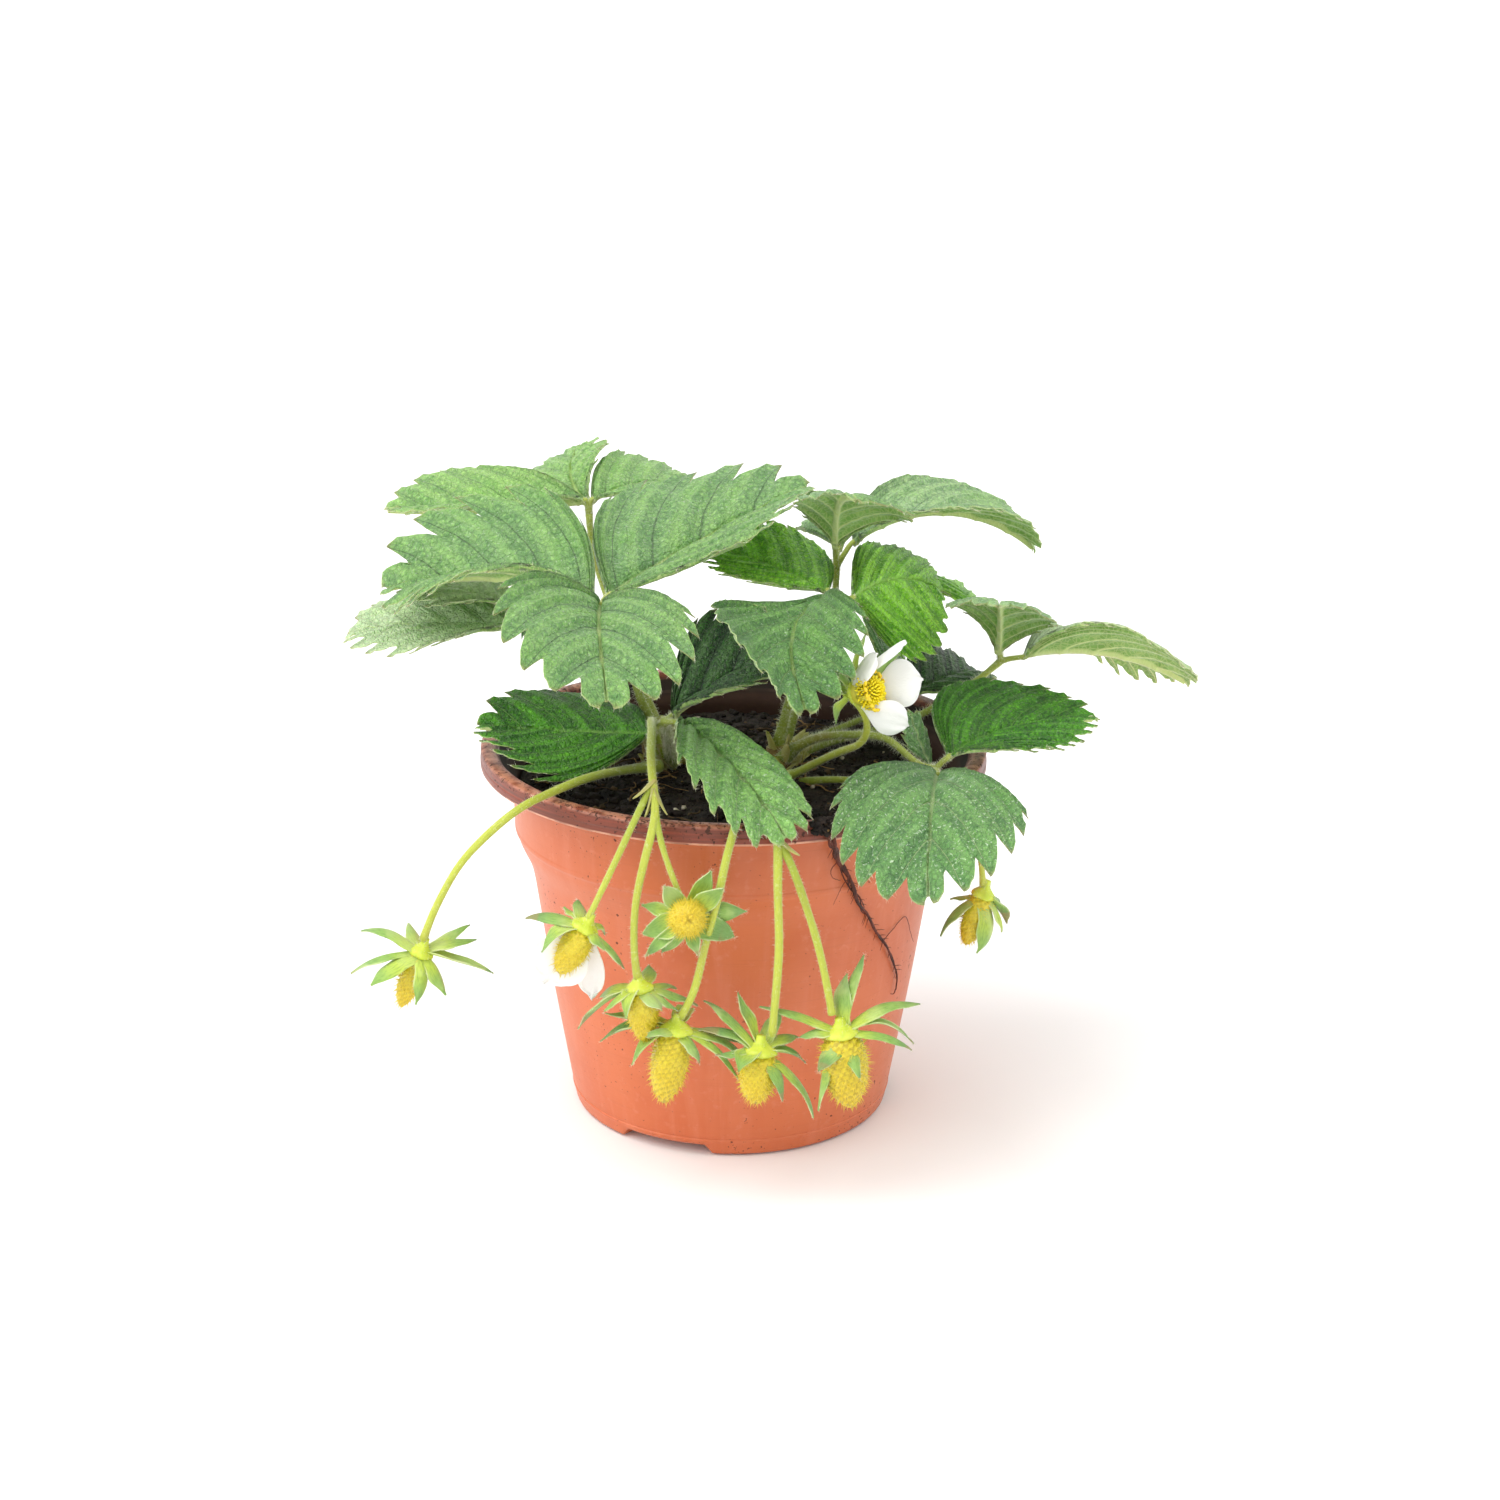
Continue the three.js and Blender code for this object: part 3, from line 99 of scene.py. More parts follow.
# leaf stems: node, key, points, [foot radius, top radius], short stems of the leaflets
PETIOLES = [
    ["leaf_1_stem", "A", [[-16.73, 6.0, 83.96], [-18.75, 2.0, 92.37], [-22.08, 2.0, 99.34], [-24.98, 4.0, 109.62], [-29.29, -13.0, 124.41], [-30.42, -17.5, 128.09]], [1.15, 0.8], [[[-30.42, -17.5, 128.09], [-31.26, -16.75, 128.96], [-32.09, -16.0, 129.54], [-33.05, -14.98, 129.63]], [[-30.42, -17.5, 128.09], [-30.4, -19.28, 128.95]], [[-30.42, -17.5, 128.09], [-29.82, -15.75, 128.93], [-29.22, -14.0, 129.47], [-28.38, -12.72, 129.74]]]],
    ["leaf_2_stem", "B", [[-16.05, 16.0, 81.56], [-21.28, 26.0, 91.59], [-30.6, 38.0, 111.02], [-35.88, 46.0, 125.44], [-36.56, 46.0, 133.61]], [1.1, 0.75], [[[-36.56, 46.0, 133.61], [-36.92, 46.0, 135.41], [-37.28, 46.0, 136.91], [-38.38, 45.84, 136.78]], [[-36.56, 46.0, 133.61], [-36.7, 46.5, 134.91], [-36.85, 47.0, 135.9], [-37.19, 47.69, 136.0]], [[-36.56, 46.0, 133.61], [-36.3, 46.0, 135.42], [-36.04, 46.0, 136.93], [-35.47, 46.58, 137.09]]]],
    ["leaf_3_stem", "C", [[-18.18, 14.0, 81.97], [-23.72, 13.0, 90.17], [-32.25, 11.0, 102.37], [-41.08, 8.0, 111.94], [-47.09, 6.0, 115.45]], [1.1, 0.75], [[[-47.09, 6.0, 115.45], [-48.35, 5.5, 115.85], [-49.61, 5.0, 115.96], [-50.55, 5.21, 116.0]], [[-47.09, 6.0, 115.45], [-49.02, 7.0, 117.99], [-50.96, 8.0, 120.24], [-51.5, 8.2, 120.34]], [[-47.09, 6.0, 115.45], [-47.33, 4.5, 116.16], [-47.57, 3.0, 116.58], [-47.25, 2.57, 116.65]]]],
    ["leaf_4_stem", "D", [[-14.85, -1.0, 84.88], [-14.84, -10.0, 91.97], [-15.28, -19.0, 98.68], [-15.57, -25.0, 102.85]], [1.2, 0.95], [[[-15.57, -25.0, 102.85], [-17.1, -23.5, 101.28], [-18.64, -22.0, 99.4], [-19.47, -21.55, 99.24]], [[-15.57, -25.0, 102.85], [-14.92, -23.5, 103.24], [-14.28, -22.0, 103.33], [-13.69, -21.76, 103.7]], [[-15.57, -25.0, 102.85], [-13.83, -26.0, 103.24], [-12.09, -27.0, 103.32], [-11.56, -28.0, 103.32]]]],
    ["leaf_5_stem", "G", [[9.94, 4.0, 84.45], [12.83, 1.0, 98.81], [17.71, -3.0, 114.94], [22.79, -6.5, 126.95]], [1.15, 0.8], [[[22.79, -6.5, 126.95], [22.32, -6.25, 128.1], [21.84, -6.0, 128.96], [21.36, -5.43, 129.04]], [[22.79, -6.5, 126.95], [22.3, -7.25, 128.03], [21.8, -8.0, 128.81], [21.17, -8.93, 128.79]], [[22.79, -6.5, 126.95], [24.98, -6.75, 127.43], [27.17, -7.0, 127.62], [27.66, -6.24, 127.79]]]],
    ["leaf_6_stem", "H", [[11.44, 12.0, 83.24], [15.88, 14.0, 95.89], [20.99, 16.0, 109.22], [23.88, 16.0, 121.75], [23.99, 16.0, 128.69]], [1.1, 0.75], [[[23.99, 16.0, 128.69], [23.79, 15.0, 131.7], [23.59, 14.0, 134.4], [23.57, 13.57, 135.08]], [[23.99, 16.0, 128.69], [25.87, 17.0, 131.55], [27.75, 18.0, 134.12], [28.64, 18.39, 134.7]], [[23.99, 16.0, 128.69], [24.24, 18.0, 130.65], [24.49, 20.0, 132.31], [24.62, 20.69, 132.47]]]],
    ["leaf_7_stem", "I", [[13.36, 9.0, 83.02], [20.89, 13.0, 84.8], [31.85, 16.0, 86.99], [43.34, 19.0, 89.71], [50.15, 20.5, 93.15], [57.86, 21.5, 98.03], [64.66, 21.0, 104.13]], [1.1, 0.75], [[[64.66, 21.0, 104.13], [64.33, 20.5, 105.57], [64.01, 20.0, 106.71], [63.98, 19.66, 107.34]], [[64.66, 21.0, 104.13], [67.14, 20.5, 104.97], [69.63, 20.0, 105.51], [70.56, 20.34, 105.63]], [[64.66, 21.0, 104.13], [64.71, 23.5, 104.91], [64.75, 26.0, 105.4], [64.5, 26.39, 105.88]]]],
    ["leaf_8_stem", "J", [[12.21, 16.0, 82.4], [19.8, 20.0, 84.22], [30.9, 25.0, 87.33], [39.8, 28.0, 90.86]], [1.0, 0.7], [[[39.8, 28.0, 90.86], [40.83, 27.0, 92.12], [41.87, 26.0, 93.08], [42.35, 26.49, 93.21]], [[39.8, 28.0, 90.86], [40.08, 29.0, 91.07], [40.37, 30.0, 90.99], [40.25, 30.46, 91.31]], [[39.8, 28.0, 90.86], [39.0, 27.0, 91.45], [38.21, 26.0, 91.75], [37.84, 26.32, 91.88]]]],
    ["leaf_9_stem", "K", [[11.58, 0.0, 85.34], [16.44, -4.0, 90.78], [23.15, -8.0, 94.2], [29.56, -12.0, 95.86], [34.81, -15.0, 96.19], [38.67, -18.0, 94.56], [42.82, -20.0, 91.62], [46.67, -22.0, 90.89]], [1.15, 0.85], [[[46.67, -22.0, 90.89], [48.12, -22.0, 92.65], [49.57, -22.0, 94.1], [50.07, -21.12, 94.19]], [[46.67, -22.0, 90.89], [46.89, -24.5, 91.4], [47.1, -27.0, 91.61], [46.95, -28.22, 92.0]], [[46.67, -22.0, 90.89], [46.38, -19.0, 90.49], [46.1, -16.0, 89.78], [46.07, -15.98, 89.83]]]],
]
# fruit and flower stalks: node, branches of (points, radii)
STALKS = [
    ["truss_left_stalk", [[[[-17.64, -3.0, 85.54], [-18.32, -4.0, 90.64], [-18.86, -9.0, 96.28], [-18.89, -18.0, 100.62], [-18.34, -32.0, 103.23], [-18.0, -47.0, 103.11], [-17.15, -59.0, 100.08], [-16.58, -63.0, 94.81], [-18.08, -64.0, 87.04], [-19.83, -64.0, 79.31], [-20.94, -64.0, 72.23], [-20.97, -64.0, 60.34], [-20.32, -64.0, 55.32]], [1.15, 0.8]], [[[-17.15, -59.0, 100.08], [-19.25, -61.5, 96.32], [-21.81, -63.0, 91.05], [-24.85, -64.0, 84.4], [-28.61, -64.0, 75.92], [-31.28, -64.0, 69.98]], [0.8, 0.7]], [[[-16.88, -60.5, 98.54], [-16.13, -63.5, 92.92], [-15.01, -64.5, 87.73], [-12.59, -65.0, 80.25], [-10.17, -65.0, 73.94]], [0.75, 0.65]]]],
    ["fruit_1_stalk", [[[[-17.71, -8.0, 86.27], [-21.69, -15.0, 88.17], [-29.55, -30.0, 91.85], [-34.56, -38.0, 92.93], [-40.64, -45.0, 92.49], [-47.13, -51.0, 90.8], [-54.96, -54.0, 84.73], [-60.31, -55.0, 78.66], [-63.89, -56.0, 72.58], [-66.47, -56.0, 67.05], [-68.62, -56.0, 61.25]], [1.1, 0.8]]]],
    ["fruit_5_stalk", [[[[4.49, -20.0, 84.8], [2.68, -36.0, 89.04], [1.4, -50.0, 91.69], [0.83, -62.0, 91.4], [-0.84, -64.5, 85.33], [-2.52, -65.0, 76.85], [-5.73, -65.0, 63.09], [-8.12, -64.5, 52.79], [-11.0, -64.0, 46.5]], [1.0, 0.85]]]],
    ["truss_middle_stalk", [[[[9.2, -10.0, 82.54], [9.77, -28.0, 86.5], [10.09, -46.0, 90.34], [10.22, -60.0, 91.7], [10.25, -65.0, 87.51], [10.4, -66.0, 75.75], [10.76, -66.0, 64.89], [10.24, -66.0, 53.9], [9.5, -65.0, 43.06]], [1.15, 0.9]], [[[10.23, -64.0, 89.0], [12.45, -65.5, 85.4], [16.08, -66.0, 75.81], [18.86, -66.0, 66.88], [21.0, -66.0, 57.85], [22.73, -65.5, 48.52]], [0.95, 0.85]]]],
    ["fruit_8_stalk", [[[[14.91, -6.0, 81.41], [19.2, -10.4, 83.89], [26.4, -16.3, 86.2], [35.3, -20.8, 86.81], [41.49, -24.0, 86.89], [45.2, -26.8, 88.2], [46.8, -28.6, 90.41], [49.3, -31.4, 91.69], [51.41, -33.6, 91.19], [52.81, -34.8, 89.01], [54.21, -34.4, 84.0], [56.2, -31.5, 77.0], [57.6, -28.8, 70.5], [58.31, -27.0, 64.31]], [0.85, 0.7]]]],
    ["flower_stalk", [[[[12.48, -9.0, 84.22], [15.66, -14.0, 87.5], [20.14, -20.0, 92.1], [25.64, -27.0, 97.24], [28.61, -32.0, 100.42], [30.02, -35.0, 103.83], [29.99, -37.0, 107.34], [28.65, -38.0, 110.72], [26.6, -37.5, 113.12]], [1.0, 0.75]]]],
]
# fruit: node, calyx, far end, width, sepal tips
FRUITS = [
    ["fruit_1", [-68.9, -56.0, 58.84], [-73.84, -57.0, 45.84], 5.6, [[-81.96, -54.0, 63.89], [-84.73, -59.0, 55.33], [-79.54, -62.0, 52.32], [-69.62, -64.0, 49.2], [-63.24, -61.0, 50.14], [-53.6, -56.0, 51.98], [-57.17, -52.0, 60.22], [-58.65, -50.0, 62.53], [-73.56, -48.0, 60.33]]],
    ["fruit_2", [-31.73, -64.0, 68.55], [-37.5, -65.0, 57.71], 7.0, [[-45.15, -61.0, 68.6], [-37.38, -58.0, 69.15], [-41.61, -68.0, 65.35], [-27.6, -68.0, 64.33], [-23.19, -64.0, 58.4], [-27.37, -59.0, 65.37], [-34.61, -56.0, 70.05]]],
    ["fruit_3", [-9.49, -65.5, 71.31], [-9.18, -69.5, 72.23], 8.0, [[-14.48, -67.5, 79.57], [-19.61, -64.5, 73.39], [-19.1, -66.5, 67.59], [-18.38, -68.5, 63.22], [-14.9, -67.5, 63.32], [-6.96, -69.5, 64.01], [0.85, -65.5, 66.7], [3.65, -64.5, 72.48], [-1.63, -67.5, 79.02], [-4.31, -64.5, 81.79]]],
    ["fruit_4", [-20.1, -64.0, 54.36], [-18.53, -65.0, 41.52], 7.0, [[-34.2, -63.0, 43.84], [-27.41, -69.0, 49.97], [-28.96, -60.0, 50.11], [-23.61, -70.0, 51.42], [-15.03, -70.0, 50.56], [-11.81, -67.0, 49.51], [-7.03, -63.0, 49.49], [-12.03, -59.0, 51.08], [-17.94, -56.0, 54.58]]],
    ["fruit_5", [-11.88, -64.0, 44.55], [-14.73, -65.0, 26.62], 8.6, [[-28.86, -63.0, 41.47], [-27.88, -60.0, 44.52], [-21.97, -68.0, 37.5], [-17.86, -71.0, 44.24], [-6.41, -69.0, 38.14], [1.59, -66.0, 32.2], [4.0, -62.0, 35.28], [2.83, -60.0, 39.01], [-8.95, -56.0, 46.15]]],
    ["fruit_6", [6.87, -65.0, 39.87], [5.89, -66.5, 27.33], 8.6, [[-5.27, -62.0, 50.29], [-0.17, -60.0, 49.71], [-6.54, -64.0, 44.37], [-2.87, -69.0, 38.67], [2.03, -72.0, 37.69], [12.76, -70.0, 29.82], [18.69, -67.0, 23.78], [17.18, -64.0, 36.6], [15.14, -60.0, 41.61], [11.29, -58.0, 45.56]]],
    ["fruit_7", [24.8, -65.5, 44.68], [27.15, -66.5, 26.6], 10.6, [[26.0, -61.5, 56.47], [30.87, -59.5, 59.77], [41.4, -62.5, 51.77], [41.04, -65.5, 43.66], [40.49, -68.5, 42.1], [6.76, -63.5, 49.39], [15.7, -66.5, 43.57], [19.46, -70.5, 27.45], [20.58, -72.5, 36.93], [28.98, -72.5, 36.31]]],
    ["fruit_8", [58.62, -27.0, 62.76], [54.75, -28.5, 50.54], 5.8, [[48.12, -29.0, 53.19], [51.51, -24.0, 58.23], [58.04, -32.0, 49.53], [63.21, -29.0, 53.86], [63.99, -25.0, 53.75], [62.86, -22.0, 58.82]]],
]
FLOWER = {"calyx": [26.13, -37.5, 114.05], "facing": [33.53, -41.0, 116.66], "centre": [30.28, -39.5, 115.44], "sepals": [[21.44, -36.5, 115.09], [22.64, -39.0, 107.92], [24.94, -35.5, 120.44], [28.98, -36.5, 128.23], [37.22, -34.5, 122.37], [37.95, -35.0, 110.79]]}
# petals: node, claw, tip, width, direction across, cupping
PETALS = [
    ["flower_petal_1", [26.5, -39.0, 115.71], [31.83, -40.0, 124.46], 8.4, [0.337, -0.939, 0.068], 1.3],
    ["flower_petal_2", [28.31, -36.8, 117.61], [38.31, -37.5, 126.55], 8.6, [0.122, -0.984, 0.126], 1.2],
    ["flower_petal_3", [31.09, -35.8, 114.74], [42.34, -37.5, 117.75], 10.8, [0.112, -0.434, -0.894], 1.2],
    ["flower_petal_4", [28.76, -40.5, 112.24], [39.24, -42.5, 108.33], 8.2, [0.443, -0.087, -0.892], 1.1],
]
FRUIT_PETALS = [
    [[-32.15, -64.5, 67.81], [-41.21, -66.0, 55.22], 13.0, [0.799, 0.096, 0.593], 1.6],
    [[-31.33, -63.5, 67.17], [-30.62, -62.5, 49.97], 6.5, [0.98, -0.186, 0.075], 0.8],
]
ROOT = [[21.03, -56.15, 91.34], [22.21, -57.03, 86.04], [24.12, -47.97, 78.35], [26.04, -46.77, 73.83], [27.99, -45.02, 69.29], [30.85, -38.79, 61.45], [34.44, -33.36, 54.08], [36.57, -29.64, 48.79], [38.52, -25.4, 43.23], [39.06, -23.35, 39.3], [38.94, -22.53, 36.13]]
CLUMP = [[20.82, -56.89, 89.74], 4.2]
# short roots lying against the pot: points, radius
SIDE_ROOTS = [
    [[[24.3, -47.8, 78.2], [22.4, -48.3, 75.9], [22.86, -47.94, 74.01], [24.7, -46.98, 73.17]], 0.12],
    [[[26.4, -46.3, 73.2], [25.2, -46.24, 71.68], [24.11, -46.44, 69.32], [23.05, -45.85, 66.65]], 0.08],
    [[[35.4, -31.9, 52.5], [38.6, -27.4, 54.6], [40.53, -25.0, 55.6], [41.6, -22.6, 52.6], [43.2, -17.2, 46.0]], 0.10],
]
# how each leaflet differs: colour group (the "dark" group is painted shade, the "pale", "haze" and "wan" groups painted
# sheen), teeth on a side, where they start, their depth
LOOK = {
    "A1": dict(grp="pale", N=6.78, depth=.15, u0=.2, vk=1.15, blunt=.8), "A2": dict(grp="pale", N=7.78, depth=.13, u0=.14, tone=.62, vk=1.45, blunt=.72),
    "A3": dict(grp="pale", N=6.78, depth=.12, u0=.2, vk=1.2),
    "B1": dict(grp="back", N=6.78), "B2": dict(grp="back", N=5.78), "B3": dict(grp="back", N=6.78, tone=.35),
    "C1": dict(grp="wan", N=7.78, tone=.6), "C2": dict(grp="wan", N=6.78), "C3": dict(grp="mid", N=6.78),
    "D1": dict(grp="sat", N=7.78, depth=.12, tone=.30, vk=1.3), "E1": dict(grp="dark", N=7.78, relief=1.7, vk=1.5), "F1": dict(grp="grey_2", N=7.78, depth=.085, tone=.92, vk=1.6, blunt=.75, relief=1.25),
    "G1": dict(grp="bright", tone=.42, N=8.78, depth=.075, vk=1.3), "G2": dict(grp="mid", N=7.78, depth=.10, tone=.62, vk=1.5, blunt=.8, notch=.16), "G3": dict(grp="bright", N=9.78, depth=.07, vk=1.7, relief=1.0),
    "H1": dict(grp="pale", N=6.78), "H2": dict(grp="haze", N=9.78, depth=.06, vk=1.4), "H3": dict(grp="pale", N=6.78),
    "I1": dict(grp="haze", N=7.78), "I2": dict(grp="wan", N=9.78, depth=.07, vk=1.4), "I3": dict(grp="bright", N=7.78),
    "J1": dict(grp="dark", N=8.78, tone=.8), "J2": dict(grp="mid", N=7.78), "J3": dict(grp="mid", N=7.78),
    "K1": dict(grp="sat", tone=.62, N=9.78, depth=.075, vk=1.8, relief=.9), "K2": dict(grp="grey", N=8.78, depth=.10, u0=.12, vk=1.8, blunt=.8), "K3": dict(grp="grey", N=5.78),
}

# ------------------------------------------------------------------ mesh helpers
def unit(v):
    v = np.asarray(v, float)
    return v / (np.linalg.norm(v, axis=-1, keepdims=True) + 1e-12)


class Build:
    """Collects vertices in mm, faces, material indices and per-vertex data, and makes one mesh object."""
    def __init__(self):
        self.v = []; self.f = []; self.m = []; self.n = 0
        self.uv1 = []; self.uv2 = []; self.at = {"edge": [], "tone": []}

    def add(self, V, F, mat=0, uv1=None, uv2=None, edge=None, tone=0.5):
        V = np.asarray(V, float).reshape(-1, 3)
        k = len(V)
        self.v.append(V)
        for f in F:
            self.f.append([int(i) + self.n for i in f])
        self.m += [mat] * len(F)
        self.uv1.append(np.zeros((k, 2)) if uv1 is None else np.asarray(uv1, float).reshape(-1, 2))
        self.uv2.append(np.zeros((k, 2)) if uv2 is None else np.asarray(uv2, float).reshape(-1, 2))
        self.at["edge"].append(np.full(k, 9.0) if edge is None else np.asarray(edge, float).ravel())
        self.at["tone"].append(np.full(k, tone) if np.isscalar(tone) else np.asarray(tone, float).ravel())
        self.n += k

    def make(self, name, mats, nodes, smooth=True):
        V = np.vstack(self.v) * MM
        me = bpy.data.meshes.new(name)
        me.from_pydata(V.tolist(), [], self.f)
        for m in mats:
            me.materials.append(m)
        me.polygons.foreach_set("material_index", np.array(self.m, np.int32))
        me.polygons.foreach_set("use_smooth", np.full(len(me.polygons), smooth))
        li = np.zeros(len(me.loops), np.int32)
        me.loops.foreach_get("vertex_index", li)
        for nm, uv in (("phase", self.uv1), ("mm", self.uv2)):
            layer = me.uv_layers.new(name=nm)
            layer.data.foreach_set("uv", np.vstack(uv)[li].ravel())
        for nm, a in self.at.items():
            at = me.attributes.new(nm, 'FLOAT', 'POINT')
            at.data.foreach_set("value", np.concatenate(a).astype(np.float32))
        me.update()
        o = bpy.data.objects.new(name, me)
        bpy.context.scene.collection.objects.link(o)
        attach(o, "root")
        if nodes:
            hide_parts(*nodes)
        return o


def spline(P, n, w=.75):
    """Smooth natural cubic through the points, n points evenly spaced along it."""
    P = np.array(P, float)
    m = len(P)
    if m == 2:
        return P[0] + (P[1] - P[0]) * np.linspace(0, 1, n)[:, None]
    d = np.r_[0, np.cumsum(np.linalg.norm(np.diff(P, axis=0), axis=1) ** w)]
    h = np.diff(d)
    A = np.eye(m); B = np.zeros((m, 3))
    for i in range(1, m - 1):
        A[i, i - 1] = h[i - 1]; A[i, i] = 2 * (h[i - 1] + h[i]); A[i, i + 1] = h[i]
        B[i] = 6 * ((P[i + 1] - P[i]) / h[i] - (P[i] - P[i - 1]) / h[i - 1])
    M = np.linalg.solve(A, B)
    t = np.linspace(0, d[-1], 400)
    k = np.clip(np.searchsorted(d, t, 'right') - 1, 0, m - 2)
    a = ((d[k + 1] - t) / h[k])[:, None]; b = ((t - d[k]) / h[k])[:, None]; hh = (h[k] ** 2)[:, None]
    Q = a * P[k] + b * P[k + 1] + ((a ** 3 - a) * M[k] + (b ** 3 - b) * M[k + 1]) * hh / 6
    s = np.r_[0, np.cumsum(np.linalg.norm(np.diff(Q, axis=0), axis=1))]
    u = np.linspace(0, s[-1], n)
    return np.stack([np.interp(u, s, Q[:, j]) for j in range(3)], 1)


def frames(Q):
    T = unit(np.gradient(Q, axis=0))
    u = unit(np.cross(T[0], [0.3, 0.2, 1.0]))
    U = []
    for i in range(len(Q)):
        u = unit(u - T[i] * (u @ T[i]))
        U.append(u)
    U = np.array(U)
    return T, U, np.cross(T, U)


def tube(bd, Q, R, sides=10, mat=0, cap=True, tone=.5, groove=0.0, uvs=1.0):
    """A tube along Q (n x 3) with radius R (n). groove flattens one side a little, as on a leaf stem."""
    n = len(Q)
    R = np.broadcast_to(np.asarray(R, float), (n,))
    T, U, W = frames(Q)
    a = np.arange(sides) * 2 * np.pi / sides
    prof = 1 - groove * np.exp(-((a - np.pi / 2) / .6) ** 2)
    V = Q[:, None] + (R[:, None] * prof[None])[..., None] * (np.cos(a)[None, :, None] * U[:, None] + np.sin(a)[None, :, None] * W[:, None])
    F = []
    for i in range(n - 1):
        for j in range(sides):
            k = (j + 1) % sides
            F.append((i * sides + j, i * sides + k, (i + 1) * sides + k, (i + 1) * sides + j))
    s = np.r_[0, np.cumsum(np.linalg.norm(np.diff(Q, axis=0), axis=1))]
    uv = np.stack([np.repeat(s, sides) * .1 * uvs, np.tile(a / (2 * np.pi), n)], 1)
    tn = np.repeat(np.broadcast_to(tone, (n,)), sides) if not np.isscalar(tone) else tone
    V = V.reshape(-1, 3)
    if cap:
        F.append(tuple(range(sides))[::-1])
        F.append(tuple((n - 1) * sides + j for j in range(sides)))
    bd.add(V, F, mat, uv, uv, tone=tn)


def hairs(bd, Q, R, count, length, rng, mat=0, width=.06, lean=.3, tone=.8, skip=0.0):
    """Short fine hairs standing on a tube: each is a thin tapering three-sided sliver."""
    n = len(Q)
    R = np.broadcast_to(np.asarray(R, float), (n,))
    T, U, W = frames(Q)
    s = rng.random(count) * (1 - skip) + skip
    x = s * (n - 1); i = np.clip(x.astype(int), 0, n - 2); f = (x - i)[:, None]
    C = Q[i] * (1 - f) + Q[i + 1] * f
    r = (R[i] * (1 - f[:, 0]) + R[i + 1] * f[:, 0])
    a = rng.random(count) * 2 * np.pi
    d = np.cos(a)[:, None] * U[i] + np.sin(a)[:, None] * W[i]
    side = np.cross(d, T[i])
    base = C + d * (r * .96)[:, None]
    dirn = unit(d + T[i] * (rng.normal(0, lean, count))[:, None] + side * rng.normal(0, lean, count)[:, None])
    L = length * (0.55 + .7 * rng.random(count))
    slivers(bd, base, dirn, L, width, rng, mat, tone)


def slivers(bd, base, dirn, L, width, rng, mat=0, tone=.8):
    k = len(base)
    e1 = unit(np.cross(dirn, rng.normal(0, 1, (k, 3))))
    e2 = np.cross(dirn, e1)
    bend = e1 * (L * .18)[:, None]
    w = width
    P0 = base + e1 * w; P1 = base - e1 * w * .5 + e2 * w * .87; P2 = base - e1 * w * .5 - e2 * w * .87
    tip = base + dirn * L[:, None] + bend
    V = np.stack([P0, P1, P2, tip], 1).reshape(-1, 3)
    o = np.arange(k) * 4
    F = np.concatenate([np.stack([o, o + 1, o + 3], 1), np.stack([o + 1, o + 2, o + 3], 1), np.stack([o + 2, o, o + 3], 1)])
    bd.add(V, F.tolist(), mat, tone=tone)


def grid_faces(nu, nv, flip=False, off=0):
    i, j = np.meshgrid(np.arange(nu - 1), np.arange(nv - 1), indexing='ij')
    a = (i * nv + j).ravel() + off; b = a + nv; c = b + 1; d = a + 1
    F = np.stack([a, b, c, d], 1)
    return (F[:, ::-1] if flip else F).tolist()


def normals(G):
    gu = np.gradient(G, axis=0); gv = np.gradient(G, axis=1)
    return unit(np.cross(gu, gv))


def sheet(bd, G, N, th, mats=(0, 1, 1), uv1=None, uv2=None, edge=None, tone=.5, under_tone=None, thick_attr=None):
    """Closed thin blade: top surface G, underside G - N*th, and the edge between them."""
    nu, nv = G.shape[:2]
    th = np.broadcast_to(np.asarray(th, float), (nu, nv))
    B = G - N * th[..., None]
    flat = lambda a: None if a is None else np.asarray(a).reshape(nu * nv, -1)
    bd.add(G.reshape(-1, 3), grid_faces(nu, nv), mats[0], flat(uv1), flat(uv2), edge, tone)
    bd.add(B.reshape(-1, 3), grid_faces(nu, nv, True), mats[1], flat(uv1), flat(uv2), edge, tone if under_tone is None else under_tone)
    idx = [(i, 0) for i in range(nu)] + [(nu - 1, j) for j in range(1, nv)] + [(i, nv - 1) for i in range(nu - 2, -1, -1)] + [(0, j) for j in range(nv - 2, 0, -1)]
    ii = np.array(idx)
    P = np.vstack([G[ii[:, 0], ii[:, 1]], B[ii[:, 0], ii[:, 1]]])
    k = len(idx)
    F = [(q, k + q, k + (q + 1) % k, (q + 1) % k) for q in range(k)]
    if uv1 is not None:
        u1 = np.tile(np.asarray(uv1)[ii[:, 0], ii[:, 1]], (2, 1)); u2 = np.tile(np.asarray(uv2)[ii[:, 0], ii[:, 1]], (2, 1))
    else:
        u1 = u2 = None
    tt = tone if np.isscalar(tone) else np.tile(np.asarray(tone).reshape(nu, nv)[ii[:, 0], ii[:, 1]], 2)
    bd.add(P, F, mats[2], u1, u2, np.zeros(2 * k), tt)


# ------------------------------------------------------------------ materials
def lin(c):
    """sRGB 0-255 to linear."""
    out = []
    for x in c:
        x = x / 255.0
        out.append(x / 12.92 if x <= .04045 else ((x + .055) / 1.055) ** 2.4)
    return (*out, 1.0)


